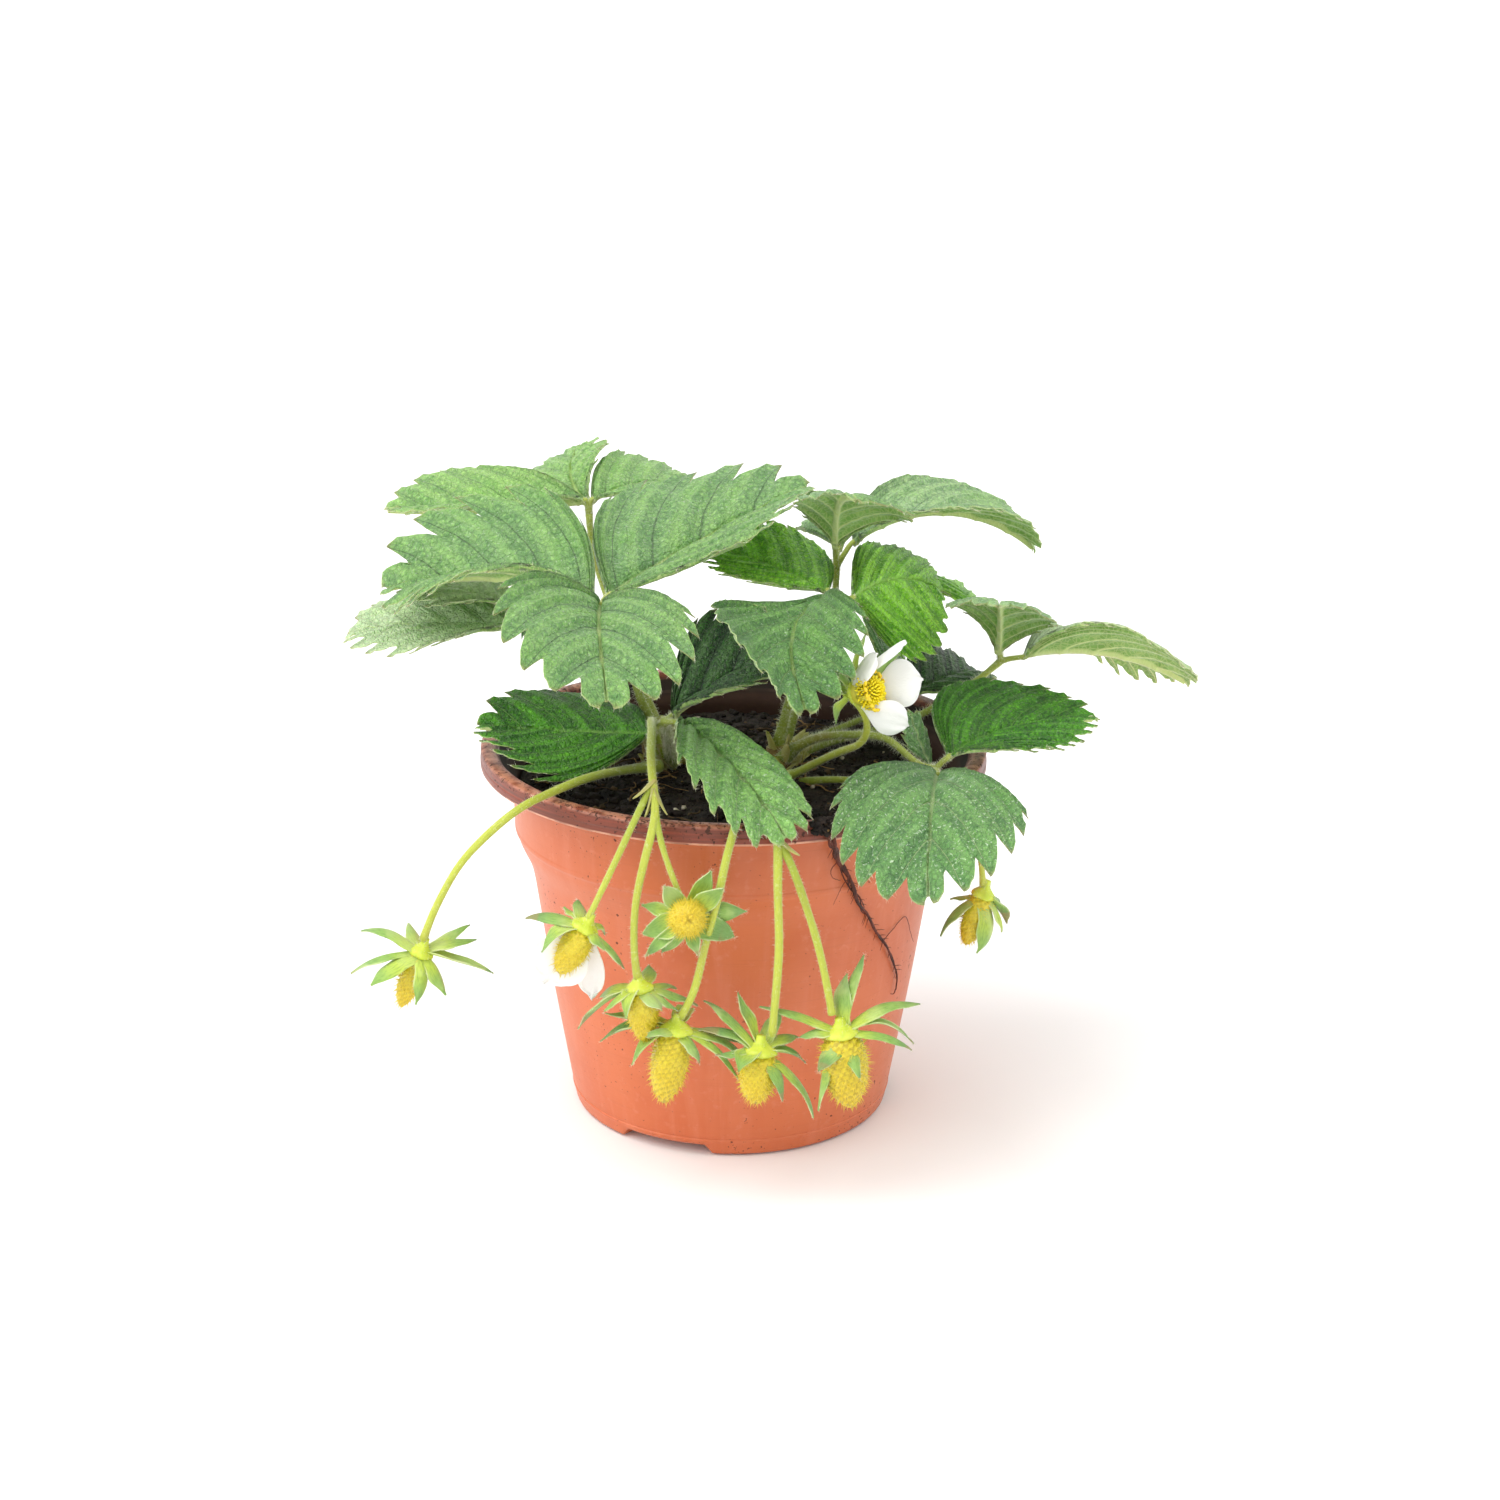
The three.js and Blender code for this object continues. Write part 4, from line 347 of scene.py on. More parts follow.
class Mat:
    def __init__(self, name):
        self.m = bpy.data.materials.new(name)
        self.m.use_nodes = True
        self.t = self.m.node_tree
        self.t.nodes.clear()
        self.out = self.t.nodes.new("ShaderNodeOutputMaterial")
        self.b = self.t.nodes.new("ShaderNodeBsdfPrincipled")
        self.t.links.new(self.b.outputs[0], self.out.inputs[0])

    def n(self, kind, **kw):
        nd = self.t.nodes.new("ShaderNode" + kind)
        for k, v in kw.items():
            setattr(nd, k, v)
        return nd

    def put(self, sock, val):
        if hasattr(val, "is_output") or isinstance(val, bpy.types.NodeSocket):
            self.t.links.new(val, sock)
        else:
            sock.default_value = val

    def math(self, op, a, b=0.0, c=0.0, clamp=False):
        nd = self.n("Math", operation=op, use_clamp=clamp)
        self.put(nd.inputs[0], a); self.put(nd.inputs[1], b); self.put(nd.inputs[2], c)
        return nd.outputs[0]

    def step(self, x, lo, hi, a=0.0, b=1.0):
        nd = self.n("MapRange", interpolation_type='SMOOTHSTEP')
        self.put(nd.inputs[0], x); self.put(nd.inputs[1], lo); self.put(nd.inputs[2], hi); self.put(nd.inputs[3], a); self.put(nd.inputs[4], b)
        return nd.outputs[0]

    def mix(self, f, a, b, kind='MIX'):
        nd = self.n("Mix", data_type='RGBA', blend_type=kind)
        self.put(nd.inputs[0], f); self.put(nd.inputs[6], a); self.put(nd.inputs[7], b)
        return nd.outputs[2]

    def noise(self, scale, detail=3.0, rough=.5, vec=None, dist=0.0):
        nd = self.n("TexNoise")
        nd.inputs["Scale"].default_value = scale; nd.inputs["Detail"].default_value = detail; nd.inputs["Roughness"].default_value = rough; nd.inputs["Distortion"].default_value = dist
        self.put(nd.inputs["Vector"], vec if vec is not None else self.obj())
        return nd.outputs[0]

    def voro(self, scale, feature='DISTANCE_TO_EDGE', vec=None, rand=1.0, out=0):
        nd = self.n("TexVoronoi", feature=feature)
        nd.inputs["Scale"].default_value = scale; nd.inputs["Randomness"].default_value = rand
        self.put(nd.inputs["Vector"], vec if vec is not None else self.obj())
        return nd.outputs["Distance"] if out == 0 else nd.outputs["Color"]

    def obj(self):
        if not hasattr(self, "_o"):
            self._o = self.n("TexCoord").outputs["Object"]
        return self._o

    def uv(self, name):
        return self.n("UVMap", uv_map=name).outputs[0]

    def attr(self, name):
        return self.n("Attribute", attribute_name=name, attribute_type='GEOMETRY').outputs["Fac"]

    def sep(self, v):
        nd = self.n("SeparateXYZ"); self.put(nd.inputs[0], v)
        return nd.outputs

    def bump(self, height, dist, strength=1.0, chain=None):
        nd = self.n("Bump")
        nd.inputs["Strength"].default_value = strength; nd.inputs["Distance"].default_value = dist
        self.put(nd.inputs["Height"], height)
        if chain is not None:
            self.put(nd.inputs["Normal"], chain)
        return nd.outputs[0]

    def set(self, **kw):
        names = {"color": "Base Color", "rough": "Roughness", "normal": "Normal", "spec": "Specular IOR Level", "sss": "Subsurface Weight", "sheen": "Sheen Weight", "sheenr": "Sheen Roughness", "coat": "Coat Weight", "coatr": "Coat Roughness", "sheent": "Sheen Tint"}
        for k, v in kw.items():
            self.put(self.b.inputs[names[k]], v)
        return self


def leaf_top(name, c1, c2, deep, vein=(150, 175, 95), groove=.34, rough=.42, spec=.45, sss=.10, fleck=.4, fine=.35, hairy=.0, line=.0, valley_shade=.22):
    """Upper side: c1 and c2 are the two greens of the tissue, deep is its darker green, used for mottling and for the
    painted shade in the vein grooves and in the valleys beside the veins.
    """
    m = Mat(name)
    ph = m.sep(m.uv("phase")); mmv = m.uv("mm"); mm_ = m.sep(mmv)
    e = m.attr("edge"); tone = m.attr("tone")
    av = m.math('ABSOLUTE', ph[1])
    # side veins: lines at a fixed phase of every tooth, wandering a little
    wob = m.math('MULTIPLY', m.math('SUBTRACT', m.noise(1.1, 2.0, vec=mmv), .5), .12)
    fr = m.math('FRACT', m.math('ADD', m.math('ADD', ph[0], 20.72), wob))
    d = m.math('ABSOLUTE', m.math('SUBTRACT', fr, .5))
    wid = m.math('MULTIPLY_ADD', av, -.020, .036)
    lat = m.math('SUBTRACT', 1.0, m.step(d, m.math('MULTIPLY', wid, .2), wid))
    # painted shade: mask of the tissue beside each side vein, down in the valley of the pleat
    valley_shade_mask = m.math('SUBTRACT', 1.0, m.step(d, .02, .20))
    mid = m.math('SUBTRACT', 1.0, m.step(m.math('ABSOLUTE', mm_[1]), .02, .07))
    # finer veins that run beside the side veins, and the net between them
    cs = m.n("CombineXYZ")
    m.put(cs.inputs[0], m.math('MULTIPLY', ph[0], 10.0)); m.put(cs.inputs[1], m.math('MULTIPLY', ph[1], 2.2))
    streak = m.noise(1.0, 3.0, .55, vec=cs.outputs[0], dist=.3)
    warp = m.n("VectorMath", operation='ADD')
    wn = m.n("TexNoise"); wn.inputs["Scale"].default_value = 5.0
    m.put(wn.inputs["Vector"], mmv)
    sc = m.n("VectorMath", operation='SCALE'); m.put(sc.inputs[0], wn.outputs[1]); sc.inputs["Scale"].default_value = .09
    m.put(warp.inputs[0], mmv); m.put(warp.inputs[1], sc.outputs[0])
    net = m.voro(6.5, vec=warp.outputs[0])
    net_line = m.math('SUBTRACT', 1.0, m.step(net, .0, .09))
    net2 = m.voro(17.0, vec=warp.outputs[0])
    n_big = m.noise(42.0, 3.0, .55)
    n_mid = m.noise(230.0, 4.0, .6)
    n_fine = m.noise(950.0, 3.0, .65)
    col = m.mix(m.math('MULTIPLY', m.step(n_big, .36, .64), .6), lin(c1), lin(c2))
    col = m.mix(m.math('MULTIPLY', m.step(tone, .5, 1.0), .9), col, lin(c2))
    col = m.mix(m.math('MULTIPLY', m.step(tone, .5, 0.0), .8), col, lin(deep))
    col = m.mix(m.math('MULTIPLY', m.step(n_mid, .47, .62), .62), col, lin(deep))
    col = m.mix(m.math('MULTIPLY', m.step(streak, .44, .62), m.math('ADD', fine, .12)), col, lin(deep))
    col = m.mix(m.math('MULTIPLY', m.step(n_fine, .48, .64), .48), col, lin([x * .86 for x in deep]))
    col = m.mix(m.math('MULTIPLY', m.step(n_fine, .46, .33), .42), col, lin([min(255, x * 1.12 + 14) for x in c2]))
    col = m.mix(m.math('MULTIPLY', net_line, .5), col, lin([x * .72 for x in deep]))
    # painted shade: the valley beside each side vein is darkened
    col = m.mix(m.math('MULTIPLY', valley_shade_mask, valley_shade), col, lin([x * .9 for x in deep]))
    # painted highlight: the middle between two side veins, the crest of each pleat, is lightened
    col = m.mix(m.math('MULTIPLY', m.step(d, .30, .47), .26), col, lin([min(255, x * 1.07 + 6) for x in c2]))
    lush = m.math('MULTIPLY', m.step(m.noise(70.0, 3.0, .6), .52, .70), .20)
    col = m.mix(lush, col, lin((c2[0] * .92, min(255, c2[1] * 1.04), c2[2] * .68)))
    # whitish flecks: hairs on the leaf, with painted glints of light on them
    fl = m.step(m.noise(1500.0, 2.0, .6), .60, .70)
    col = m.mix(m.math('MULTIPLY', fl, fleck * .8), col, lin((206, 222, 196)))
    # painted shade: a dark line down each side vein for the shade in its groove
    col = m.mix(m.math('MULTIPLY', lat, groove), col, lin([x * .58 for x in deep]))
    col = m.mix(m.math('MULTIPLY', m.math('SUBTRACT', 1.0, m.step(d, .004, .022)), line), col, lin(vein))
    midk = m.math('MULTIPLY', mid, m.math('MULTIPLY_ADD', m.noise(120.0, 3.0), 1.1, .05))
    col = m.mix(m.math('MULTIPLY', midk, .8), col, lin(vein))
    patch = m.math('MULTIPLY', m.step(m.noise(75.0, 4.0, .7), .60, .70), hairy)
    col = m.mix(patch, col, lin((196, 214, 196)))
    tipm = m.math('MULTIPLY', m.step(d, .26, .02), m.step(e, .9, .05))
    col = m.mix(m.math('MULTIPLY', m.step(e, 1.6, .2), .28), col, lin(c2))
    col = m.mix(m.math('MULTIPLY', m.step(e, .24, .03), .42), col, lin((196, 206, 140)))
    col = m.mix(m.math('MULTIPLY', tipm, .45), col, lin((122, 84, 52)))
    h = m.math('MULTIPLY_ADD', m.step(net, 0.0, .22), .55, m.math('MULTIPLY', n_fine, .75))
    h = m.math('MULTIPLY_ADD', m.step(net2, 0.0, .3), .30, h)
    h = m.math('MULTIPLY_ADD', streak, -.55, h)
    nb = m.bump(h, .00046, .9)
    nb = m.bump(m.math('SUBTRACT', 1.0, lat), .0004, .5, nb)
    rr = m.math('MULTIPLY_ADD', n_mid, .24, rough - .1)
    m.set(color=col, rough=rr, normal=nb, spec=spec, sss=sss, sheen=.06, sheenr=.45)
    m.b.inputs["Subsurface Radius"].default_value = (.4, 1.0, .15)
    m.b.inputs["Subsurface Scale"].default_value = .0012
    return m.m


def leaf_under(name, c1=(120, 158, 76), c2=(146, 184, 104), vein=(206, 218, 146)):
    m = Mat(name)
    ph = m.sep(m.uv("phase")); mmv = m.uv("mm"); mm_ = m.sep(mmv)
    e = m.attr("edge")
    fr = m.math('FRACT', m.math('ADD', ph[0], 20.72))
    d = m.math('ABSOLUTE', m.math('SUBTRACT', fr, .5))
    av = m.math('ABSOLUTE', ph[1])
    wid = m.math('MULTIPLY_ADD', av, -.05, .10)
    lat = m.math('SUBTRACT', 1.0, m.step(d, m.math('MULTIPLY', wid, .3), wid))
    mid = m.math('SUBTRACT', 1.0, m.step(m.math('ABSOLUTE', mm_[1]), .04, .11))
    net = m.voro(9.0, vec=mmv)
    net_line = m.math('SUBTRACT', 1.0, m.step(net, .02, .12))
    n_mid = m.noise(140.0, 4.0, .6)
    col = m.mix(m.step(n_mid, .35, .65), lin(c1), lin(c2))
    col = m.mix(m.math('MULTIPLY', net_line, .35), col, lin(vein))
    col = m.mix(m.math('MULTIPLY', lat, .8), col, lin(vein))
    col = m.mix(m.math('MULTIPLY', mid, .85), col, lin(vein))
    col = m.mix(m.math('MULTIPLY', m.step(e, .35, .02), .5), col, lin((214, 210, 150)))
    nb = m.bump(m.math('ADD', net_line, m.noise(1500.0, 2.0)), .00015, .6)
    m.set(color=col, rough=.6, normal=nb, spec=.3, sss=.10, sheen=.3, sheenr=.5)
    m.b.inputs["Subsurface Radius"].default_value = (.5, 1.0, .2)
    m.b.inputs["Subsurface Scale"].default_value = .0012
    return m.m


def stem_mat(name, c1, c2, red=(150, 92, 58), redness=.25, rough=.45, sss=.15):
    m = Mat(name)
    u = m.sep(m.uv("mm"))
    streak = m.n("CombineXYZ")
    m.put(streak.inputs[0], m.math('MULTIPLY', u[0], 1.2)); m.put(streak.inputs[1], m.math('MULTIPLY', u[1], 14.0))
    s = m.noise(3.0, 3.0, .6, vec=streak.outputs[0])
    big = m.noise(60.0, 2.0)
    tone = m.attr("tone")
    col = m.mix(m.step(tone, .15, .85), lin(c1), lin(c2))
    col = m.mix(m.math('MULTIPLY', m.step(s, .45, .7), .45), col, lin([x * .78 for x in c1]))
    col = m.mix(m.math('MULTIPLY', m.step(big, .55, .72), redness), col, lin(red))
    col = m.mix(m.math('MULTIPLY', m.step(m.noise(900.0, 2.0), .6, .75), .3), col, lin((228, 232, 180)))
    nb = m.bump(m.math('ADD', s, m.math('MULTIPLY', m.noise(1200.0, 2.0), .5)), .00018, .6)
    m.set(color=col, rough=rough, normal=nb, spec=.45, sss=sss, sheen=.25, sheenr=.4)
    m.b.inputs["Subsurface Radius"].default_value = (.8, 1.0, .3)
    m.b.inputs["Subsurface Scale"].default_value = .0015
    return m.m

# ------------------------------------------------------------------ leaflets
TP = 0.56


def smap(p, base, t, b):
    az0, el0, daz, de, L, wl, wr, r0, dr, fl0, fl1, fr0, fr1, cl, cr = p
    s = np.linspace(0, 1.15, 41)
    az = np.radians(az0 + daz * s); el = np.radians(el0 + de * s)
    T = np.stack([np.cos(el) * np.cos(az), np.cos(el) * np.sin(az), np.sin(el)], 1)
    M = np.vstack([[0, 0, 0], np.cumsum((T[1:] + T[:-1]) / 2 * (s[1] - s[0]) * L, axis=0)]) + np.array(base)
    tc = np.clip(t, 0, 1.15)
    Mi = np.stack([np.interp(tc, s, M[:, k]) for k in range(3)], -1)
    az = np.radians(az0 + daz * tc); el = np.radians(el0 + de * tc)
    Ti = np.stack([np.cos(el) * np.cos(az), np.cos(el) * np.sin(az), np.sin(el)], -1)
    Li = np.stack([-np.sin(az), np.cos(az), 0 * az], -1)
    Ui = np.cross(Ti, Li)
    r = np.radians(r0 + dr * tc)[..., None]
    L2 = np.cos(r) * Li + np.sin(r) * Ui; U2 = -np.sin(r) * Li + np.cos(r) * Ui
    left = b >= 0
    W = np.where(left, wl, wr) * L
    k = np.radians(np.where(left, cl, cr)); k = np.where(np.abs(k) < 1e-3, 1e-3, k)
    f = np.radians(np.where(left, fl0 + (fl1 - fl0) * tc, fr0 + (fr1 - fr0) * tc))
    be = np.abs(b) / W
    X = W / k * (np.sin(f + k * be) - np.sin(f)); Z = -W / k * (np.cos(f + k * be) - np.cos(f))
    return Mi + (np.where(left, 1, -1) * X)[..., None] * L2 + Z[..., None] * U2


def outline(u, um=.5, blunt=.9):
    u = np.asarray(u, float)
    lo = u < um
    q = np.clip(u / um, 0, 1); phi = np.pi / 2 * (1 - np.clip((u - um) / (1 - um), 0, 1))
    t = np.where(lo, TP * q, TP + (1 - TP) * np.cos(phi))
    f = np.where(lo, np.sin(np.pi / 2 * q) ** 1.1, np.sin(phi) ** blunt)
    return t, f


def leaflet(name, p, base, mats, seed, N=6.78, u0=.18, depth=.088, relief=.95, tone=.5, wave=.6, vk=1.1, grp=None, blunt=.9, ripple=.28, notch=0.0):
    rng = np.random.default_rng(seed)
    L = p[4]
    dense = L > 24
    ph = np.array([0, .04, .1, .2, .32, .45, .58, .7, .78, .86, .93]) if dense else np.array([0, .08, .25, .5, .7, .78, .9])
    psi = [k + q for k in range(int(N) + 1) for q in ph if k + q <= N - .02] + [N]
    u = u0 + (1 - u0) * np.array(psi) / N
    ub = np.linspace(.015, u0, 8 if dense else 5)[:-1]
    u = np.r_[ub, u]; u = np.minimum(u, .994)
    psi = (u - u0) / (1 - u0) * N
    half = np.array([0, .018, .045, .09, .15, .22, .29, .36, .43, .5, .57, .64, .70, .76, .81, .86, .9, .94, .97, .987, 1.0]) if dense else np.array([0, .03, .1, .25, .4, .55, .7, .82, .92, .97, 1.0])
    v = np.r_[-half[::-1], half[1:]]
    nu, nv = len(u), len(v)
    U = np.repeat(u[:, None], nv, 1); V = np.repeat(v[None], nu, 0); PS = np.repeat(psi[:, None], nv, 1)
    TO, FO = outline(U, .5, blunt)
    wl, wr = p[5], p[6]
    wm = (wl + wr) / 2
    Ws = np.where(V >= 0, wl, wr)
    # where each side vein leaves the midrib
    M = np.maximum(TO - vk * FO * wm, .05 * U + .03 * U ** 2)
    veinlen = np.sqrt(((TO - M) * L) ** 2 + (FO * Ws * L) ** 2)
    fr = PS - np.floor(PS)
    tip = .78
    r = np.where(fr < tip, 1 - np.maximum(1 - fr / tip, 0) ** 2.3, 1 - np.maximum((fr - tip) / (1 - tip), 0) ** 1.05)
    amp = 1 + .22 * np.sin(PS.astype(int) * 2.7 + seed) + .1 * np.where(V > 0, 1, -1)
    fade = np.clip((U - u0 * .92) / .05, 0, 1) * np.clip(1.25 - .35 * U, 0, 1)
    D = depth * L * amp * fade
    cut = np.clip(D / np.maximum(veinlen, .5), 0, .5) * (1 - np.clip(r, 0, 1))
    a = np.abs(V)
    ae = a * (1 - cut * a ** 2.6)
    # midline of each tooth reaches a little further forward
    g = ae ** 1.18
    t = M + (TO - M) * g + .008 * r * a ** 6 * fade
    b = np.sign(V) * Ws * L * FO * ae
    b[:, nv // 2] = 0
    if notch:
        # the right half dips toward the tip beside the stalk, which leaves an open notch
        dip = np.exp(-((U - .14) / .07) ** 2)
        t = np.where(V < 0, t + notch * dip * a ** 1.5, t); b = np.where(V < 0, b * (1 - .12 * dip), b)
    G = smap(p, base, t, b)
    # surface direction
    e = .004
    Gt = smap(p, base, t + e, b) - G; Gb = smap(p, base, t, np.where(V >= 0, b + .15, b - .15)) - G
    Gb = np.where((V >= 0)[..., None], Gb, -Gb)
    Nn = unit(np.cross(Gt, Gb))
    # pleats between the side veins, a channel along the midrib and waves at the margin
    dv = np.abs((PS - tip + 20.5) % 1 - .5)
    bulge = 1 - np.exp(-(dv / .2) ** 1.4)
    env = np.clip(a / .07, 0, 1) * (1 - .35 * a ** 4) * np.clip(veinlen / (L * .18), 0, 1)
    h = relief * (L / 52) ** .5 * bulge * env
    midg = np.exp(-(np.abs(b) / (1.1 * (1.15 - U))) ** 2)
    h = h - .45 * relief * midg
    k1, k2, k3, k4 = rng.random(4) * 6.28
    h = h + wave * (L / 50) * a ** 2.5 * np.sin(2.1 * np.pi * PS / N * 1.6 + k1 + (V > 0) * k2) * .8
    h = h - .45 * (L / 50) * r * a ** 7 * (fade > .5) + .25 * a ** 6 * np.sin(PS * 3.1 + k3)
    # finer pleats beside the side veins
    h = h + ripple * (L / 50) * np.cos(2 * np.pi * (PS - tip) * 3) * np.clip(a * 4, 0, 1) * np.clip(veinlen / (L * .2), 0, 1)
    # small crumple of the tissue
    h = h + .12 * np.sin(t * L * 1.7 + 2.0 * np.sin(b * .8 + k4)) * np.sin(b * 1.5 + 1.4 * np.sin(t * L * .9 + k3)) * np.clip(a * 6, 0, 1)
    ribl = np.exp(-(dv / (.05 + .02 * (1 - a))) ** 2) * (1 - .75 * a)
    ribm = np.exp(-(np.abs(b) / .55) ** 2) * (1.25 - U)
    th = .22 + .22 * ribl * np.clip(veinlen / 6, 0, 1) + .55 * ribm
    T3 = G + Nn * h[..., None]
    edge = (1 - a) * veinlen * .75
    uv1 = np.stack([PS + 20, V], -1); uv2 = np.stack([t * L * .1, b * .1], -1)
    tn = np.clip(tone + rng.normal(0, .04) + 0 * U, 0, 1)
    bd = Build()
    sheet(bd, T3, Nn, th, (0, 1, 0), uv1, uv2, edge, tn.ravel())
    # silky hairs on the margin
    hm = 2
    rim = np.vstack([T3[:, 0], T3[:, -1]]); rim_n = np.vstack([Nn[:, 0], Nn[:, -1]]); rim_o = np.vstack([T3[:, 0] - T3[:, 4], T3[:, -1] - T3[:, -5]])
    k = int(5 * L)
    pick = rng.integers(0, len(rim) - 1, k); ff = rng.random((k, 1))
    same = (pick != nu - 1)
    Pp = rim[pick] * (1 - ff) + rim[np.minimum(pick + 1, len(rim) - 1)] * ff
    Pp = Pp[same]; oo = unit(rim_o[pick][same]); nn_ = rim_n[pick][same]
    fwd_ = unit(np.gradient(rim, axis=0))[pick][same]
    dd = unit(oo + .9 * fwd_ * np.where(pick[same] < nu, 1, 1)[:, None] + nn_ * rng.normal(0, .35, len(Pp))[:, None])
    slivers(bd, Pp - nn_ * .1, dd, .75 + .6 * rng.random(len(Pp)), .035, rng, hm, .9)
    return bd.make(name, mats, [name])

# ------------------------------------------------------------------ stems and stalks
def flare(s, foot, tipr, base_swell=.55, length=.12):
    """Radius along a stem: swollen sheath at its foot, then an even taper."""
    return foot + (tipr - foot) * s + base_swell * foot * np.exp(-(s / length) ** 2)


def leaf_stem(row, seed):
    rng = np.random.default_rng(seed)
    bd = Build()
    name, key, main, radii, twigs = row
    n = 46
    Q = spline(main, n)
    s = np.linspace(0, 1, n)
    R = flare(s, radii[0], radii[1], .75, .13) + .22 * np.exp(-((1 - s) / .05) ** 2)
    tube(bd, Q, R, 12, 0, tone=.25 + .5 * s, groove=.22)
    hairs(bd, Q, R, 1500, 1.15, rng, 1, .03, .22)
    for t in twigs:
        m = 14
        q = spline(t, m)
        x = np.linspace(0, 1, m)
        if len(t) > 2:
            rr = .72 - .12 * x + .12 * np.exp(-(x / .2) ** 2)
        else:
            rr = .7 - .1 * x
        # it runs on a little way under the leaflet's midrib
        tube(bd, q, rr, 9, 0, tone=.65 + .25 * x)
        hairs(bd, q, rr, 160 if len(t) > 2 else 40, .9, rng, 1, .028, .25)
    j = Q[-1]
    # bracts: two small pointed sheath scales round the foot
    for k in range(2):
        d = unit(Q[4] - Q[0]); sd = unit(np.cross(d, [.3 - k, 1.0, .2 + .5 * k]))
        scale_leaf(bd, Q[0] + sd * R[0] * .35 - d * .6, Q[0] + d * (6.5 + 2 * rng.random()) + sd * (R[0] * 1.25 + .5), sd, 3.4, rng, 2)
    return bd.make(name, [STEM, HAIR, SCALE], [name])


def scale_leaf(bd, foot, tip, out, width, rng, mat):
    """Small papery scale: pointed, cupped round the stem."""
    nu, nv = 12, 7
    s = np.linspace(0, 1, nu)[:, None]; v = np.linspace(-1, 1, nv)[None]
    d = tip - foot; L = np.linalg.norm(d); d = d / L
    n = unit(out - d * (out @ d)); w = np.cross(d, n)
    f = np.sqrt(np.clip(1 - s ** 1.8, 0, 1)) * .9 + .1
    G = foot + d * L * s[..., None] * np.ones_like(v)[..., None] + w * ((width / 2) * f * v)[..., None] + n * (-.45 * width * .5 * (v ** 2) * f + .5 * s ** 2 + .06 * np.sin(v * 9 + s * 5))[..., None]
    sheet(bd, G, normals(G), .16, (mat, mat, mat), tone=.5)


def stalk(row, seed, joints=True):
    rng = np.random.default_rng(seed)
    bd = Build()
    name, branches = row
    for i, (pts_, rad_) in enumerate(branches):
        n = 60
        Q = spline(pts_, n)
        s = np.linspace(0, 1, n)
        R = rad_[0] + (rad_[1] - rad_[0]) * s
        if i == 0:
            R = R + .6 * rad_[0] * np.exp(-(s / .07) ** 2)
        R = R * (1 + .03 * np.sin(s * 23 + seed)) + .16 * np.exp(-((1 - s) / .035) ** 2)
        tube(bd, Q, R, 12, 0, tone=np.clip(.2 + .75 * s, 0, 1))
        L = np.linalg.norm(np.diff(Q, axis=0), axis=1).sum()
        hairs(bd, Q, R, int(10 * L), .75, rng, 1, .022, .25)
        if i > 0:
            d = unit(Q[3] - Q[0])
            o = unit(np.cross(d, [0, 1, .2]))
            for sg in (1, -1):
                scale_leaf(bd, Q[0] + o * sg * .5 - d * .7, Q[0] + d * 5.5 + o * sg * 1.9, o * sg, 2.4, rng, 2)
    return bd.make(name, [STALK, HAIR, SCALE], [name])


# ------------------------------------------------------------------ fruit
def sepal_leaf(bd, foot, tip, back_, width, rng, mat, pointed=1.0, curl=.12, start=1.0):
    width = width * (.8 + .45 * rng.random()); off = rng.normal(0, .16)
    """Green sepal: lance shaped, folded a little along its middle, with a fine drawn-out tip."""
    nu, nv = 22, 9
    s = np.sin(np.linspace(0, np.pi / 2, nu))[:, None] ** .92 * np.ones((1, nv)); v = np.ones((nu, 1)) * np.linspace(-1, 1, nv)[None]
    foot = np.array(foot, float); tip = np.array(tip, float)
    d = tip - foot; L = np.linalg.norm(d); d = d / L
    n = unit(back_ - d * (back_ @ d)); w = np.cross(d, n)
    foot = foot + d * start; L = L - start
    f = np.interp(s, [0, .12, .3, .45, .62, .8, .92, 1], [.70, .82, .97, 1.0, .88, .54, .22, .02]) * (1 + .08 * np.sin(s * 9 + 20 * off))
    k = rng.random(3) * 6.28
    lift = curl * L * 4 * s * (1 - s) + (.35 * np.sin(s * 5 + k[0]) + .9 * rng.normal() * s ** 2) * s + .3 * rng.normal() * v * f * s * width * .3 - .22 * width * f * (v ** 2) * np.where(rng.random() < .8, 1, -1)
    side = .25 * np.sin(s * 3.5 + k[1]) * L * .06
    rip = .10 * np.sin(s * 14 + k[2] + v * 3) * np.abs(v) ** 2
    G = foot + d * (L * s)[..., None] + w * ((width / 2) * f * v + side)[..., None] + n * (lift + rip)[..., None]
    mmv = np.stack([s * L * .1, v * width * .05], -1)
    edge = (1 - np.abs(v)) * width * .5
    tone = np.clip(s ** 1.3 * (1 + off) + off * .5, 0, 1)
    N = normals(G)
    sheet(bd, G, N, .22 + .12 * np.exp(-(v / .15) ** 2), (mat, mat, mat), mmv, mmv, edge, tone.ravel())
    # hairs on its edge
    P = np.vstack([G[2:, 0], G[2:, -1]]); O = np.vstack([-w * np.ones((nu - 2, 1)), w * np.ones((nu - 2, 1))])
    m = 46
    i = rng.integers(0, len(P), m)
    slivers(bd, P[i] + d * rng.normal(0, .3, (m, 1)), unit(O[i] * 1.0 + d * .8 + n * rng.normal(0, .5, (m, 1))), .5 + .4 * rng.random(m), .025, rng, 1, .9)


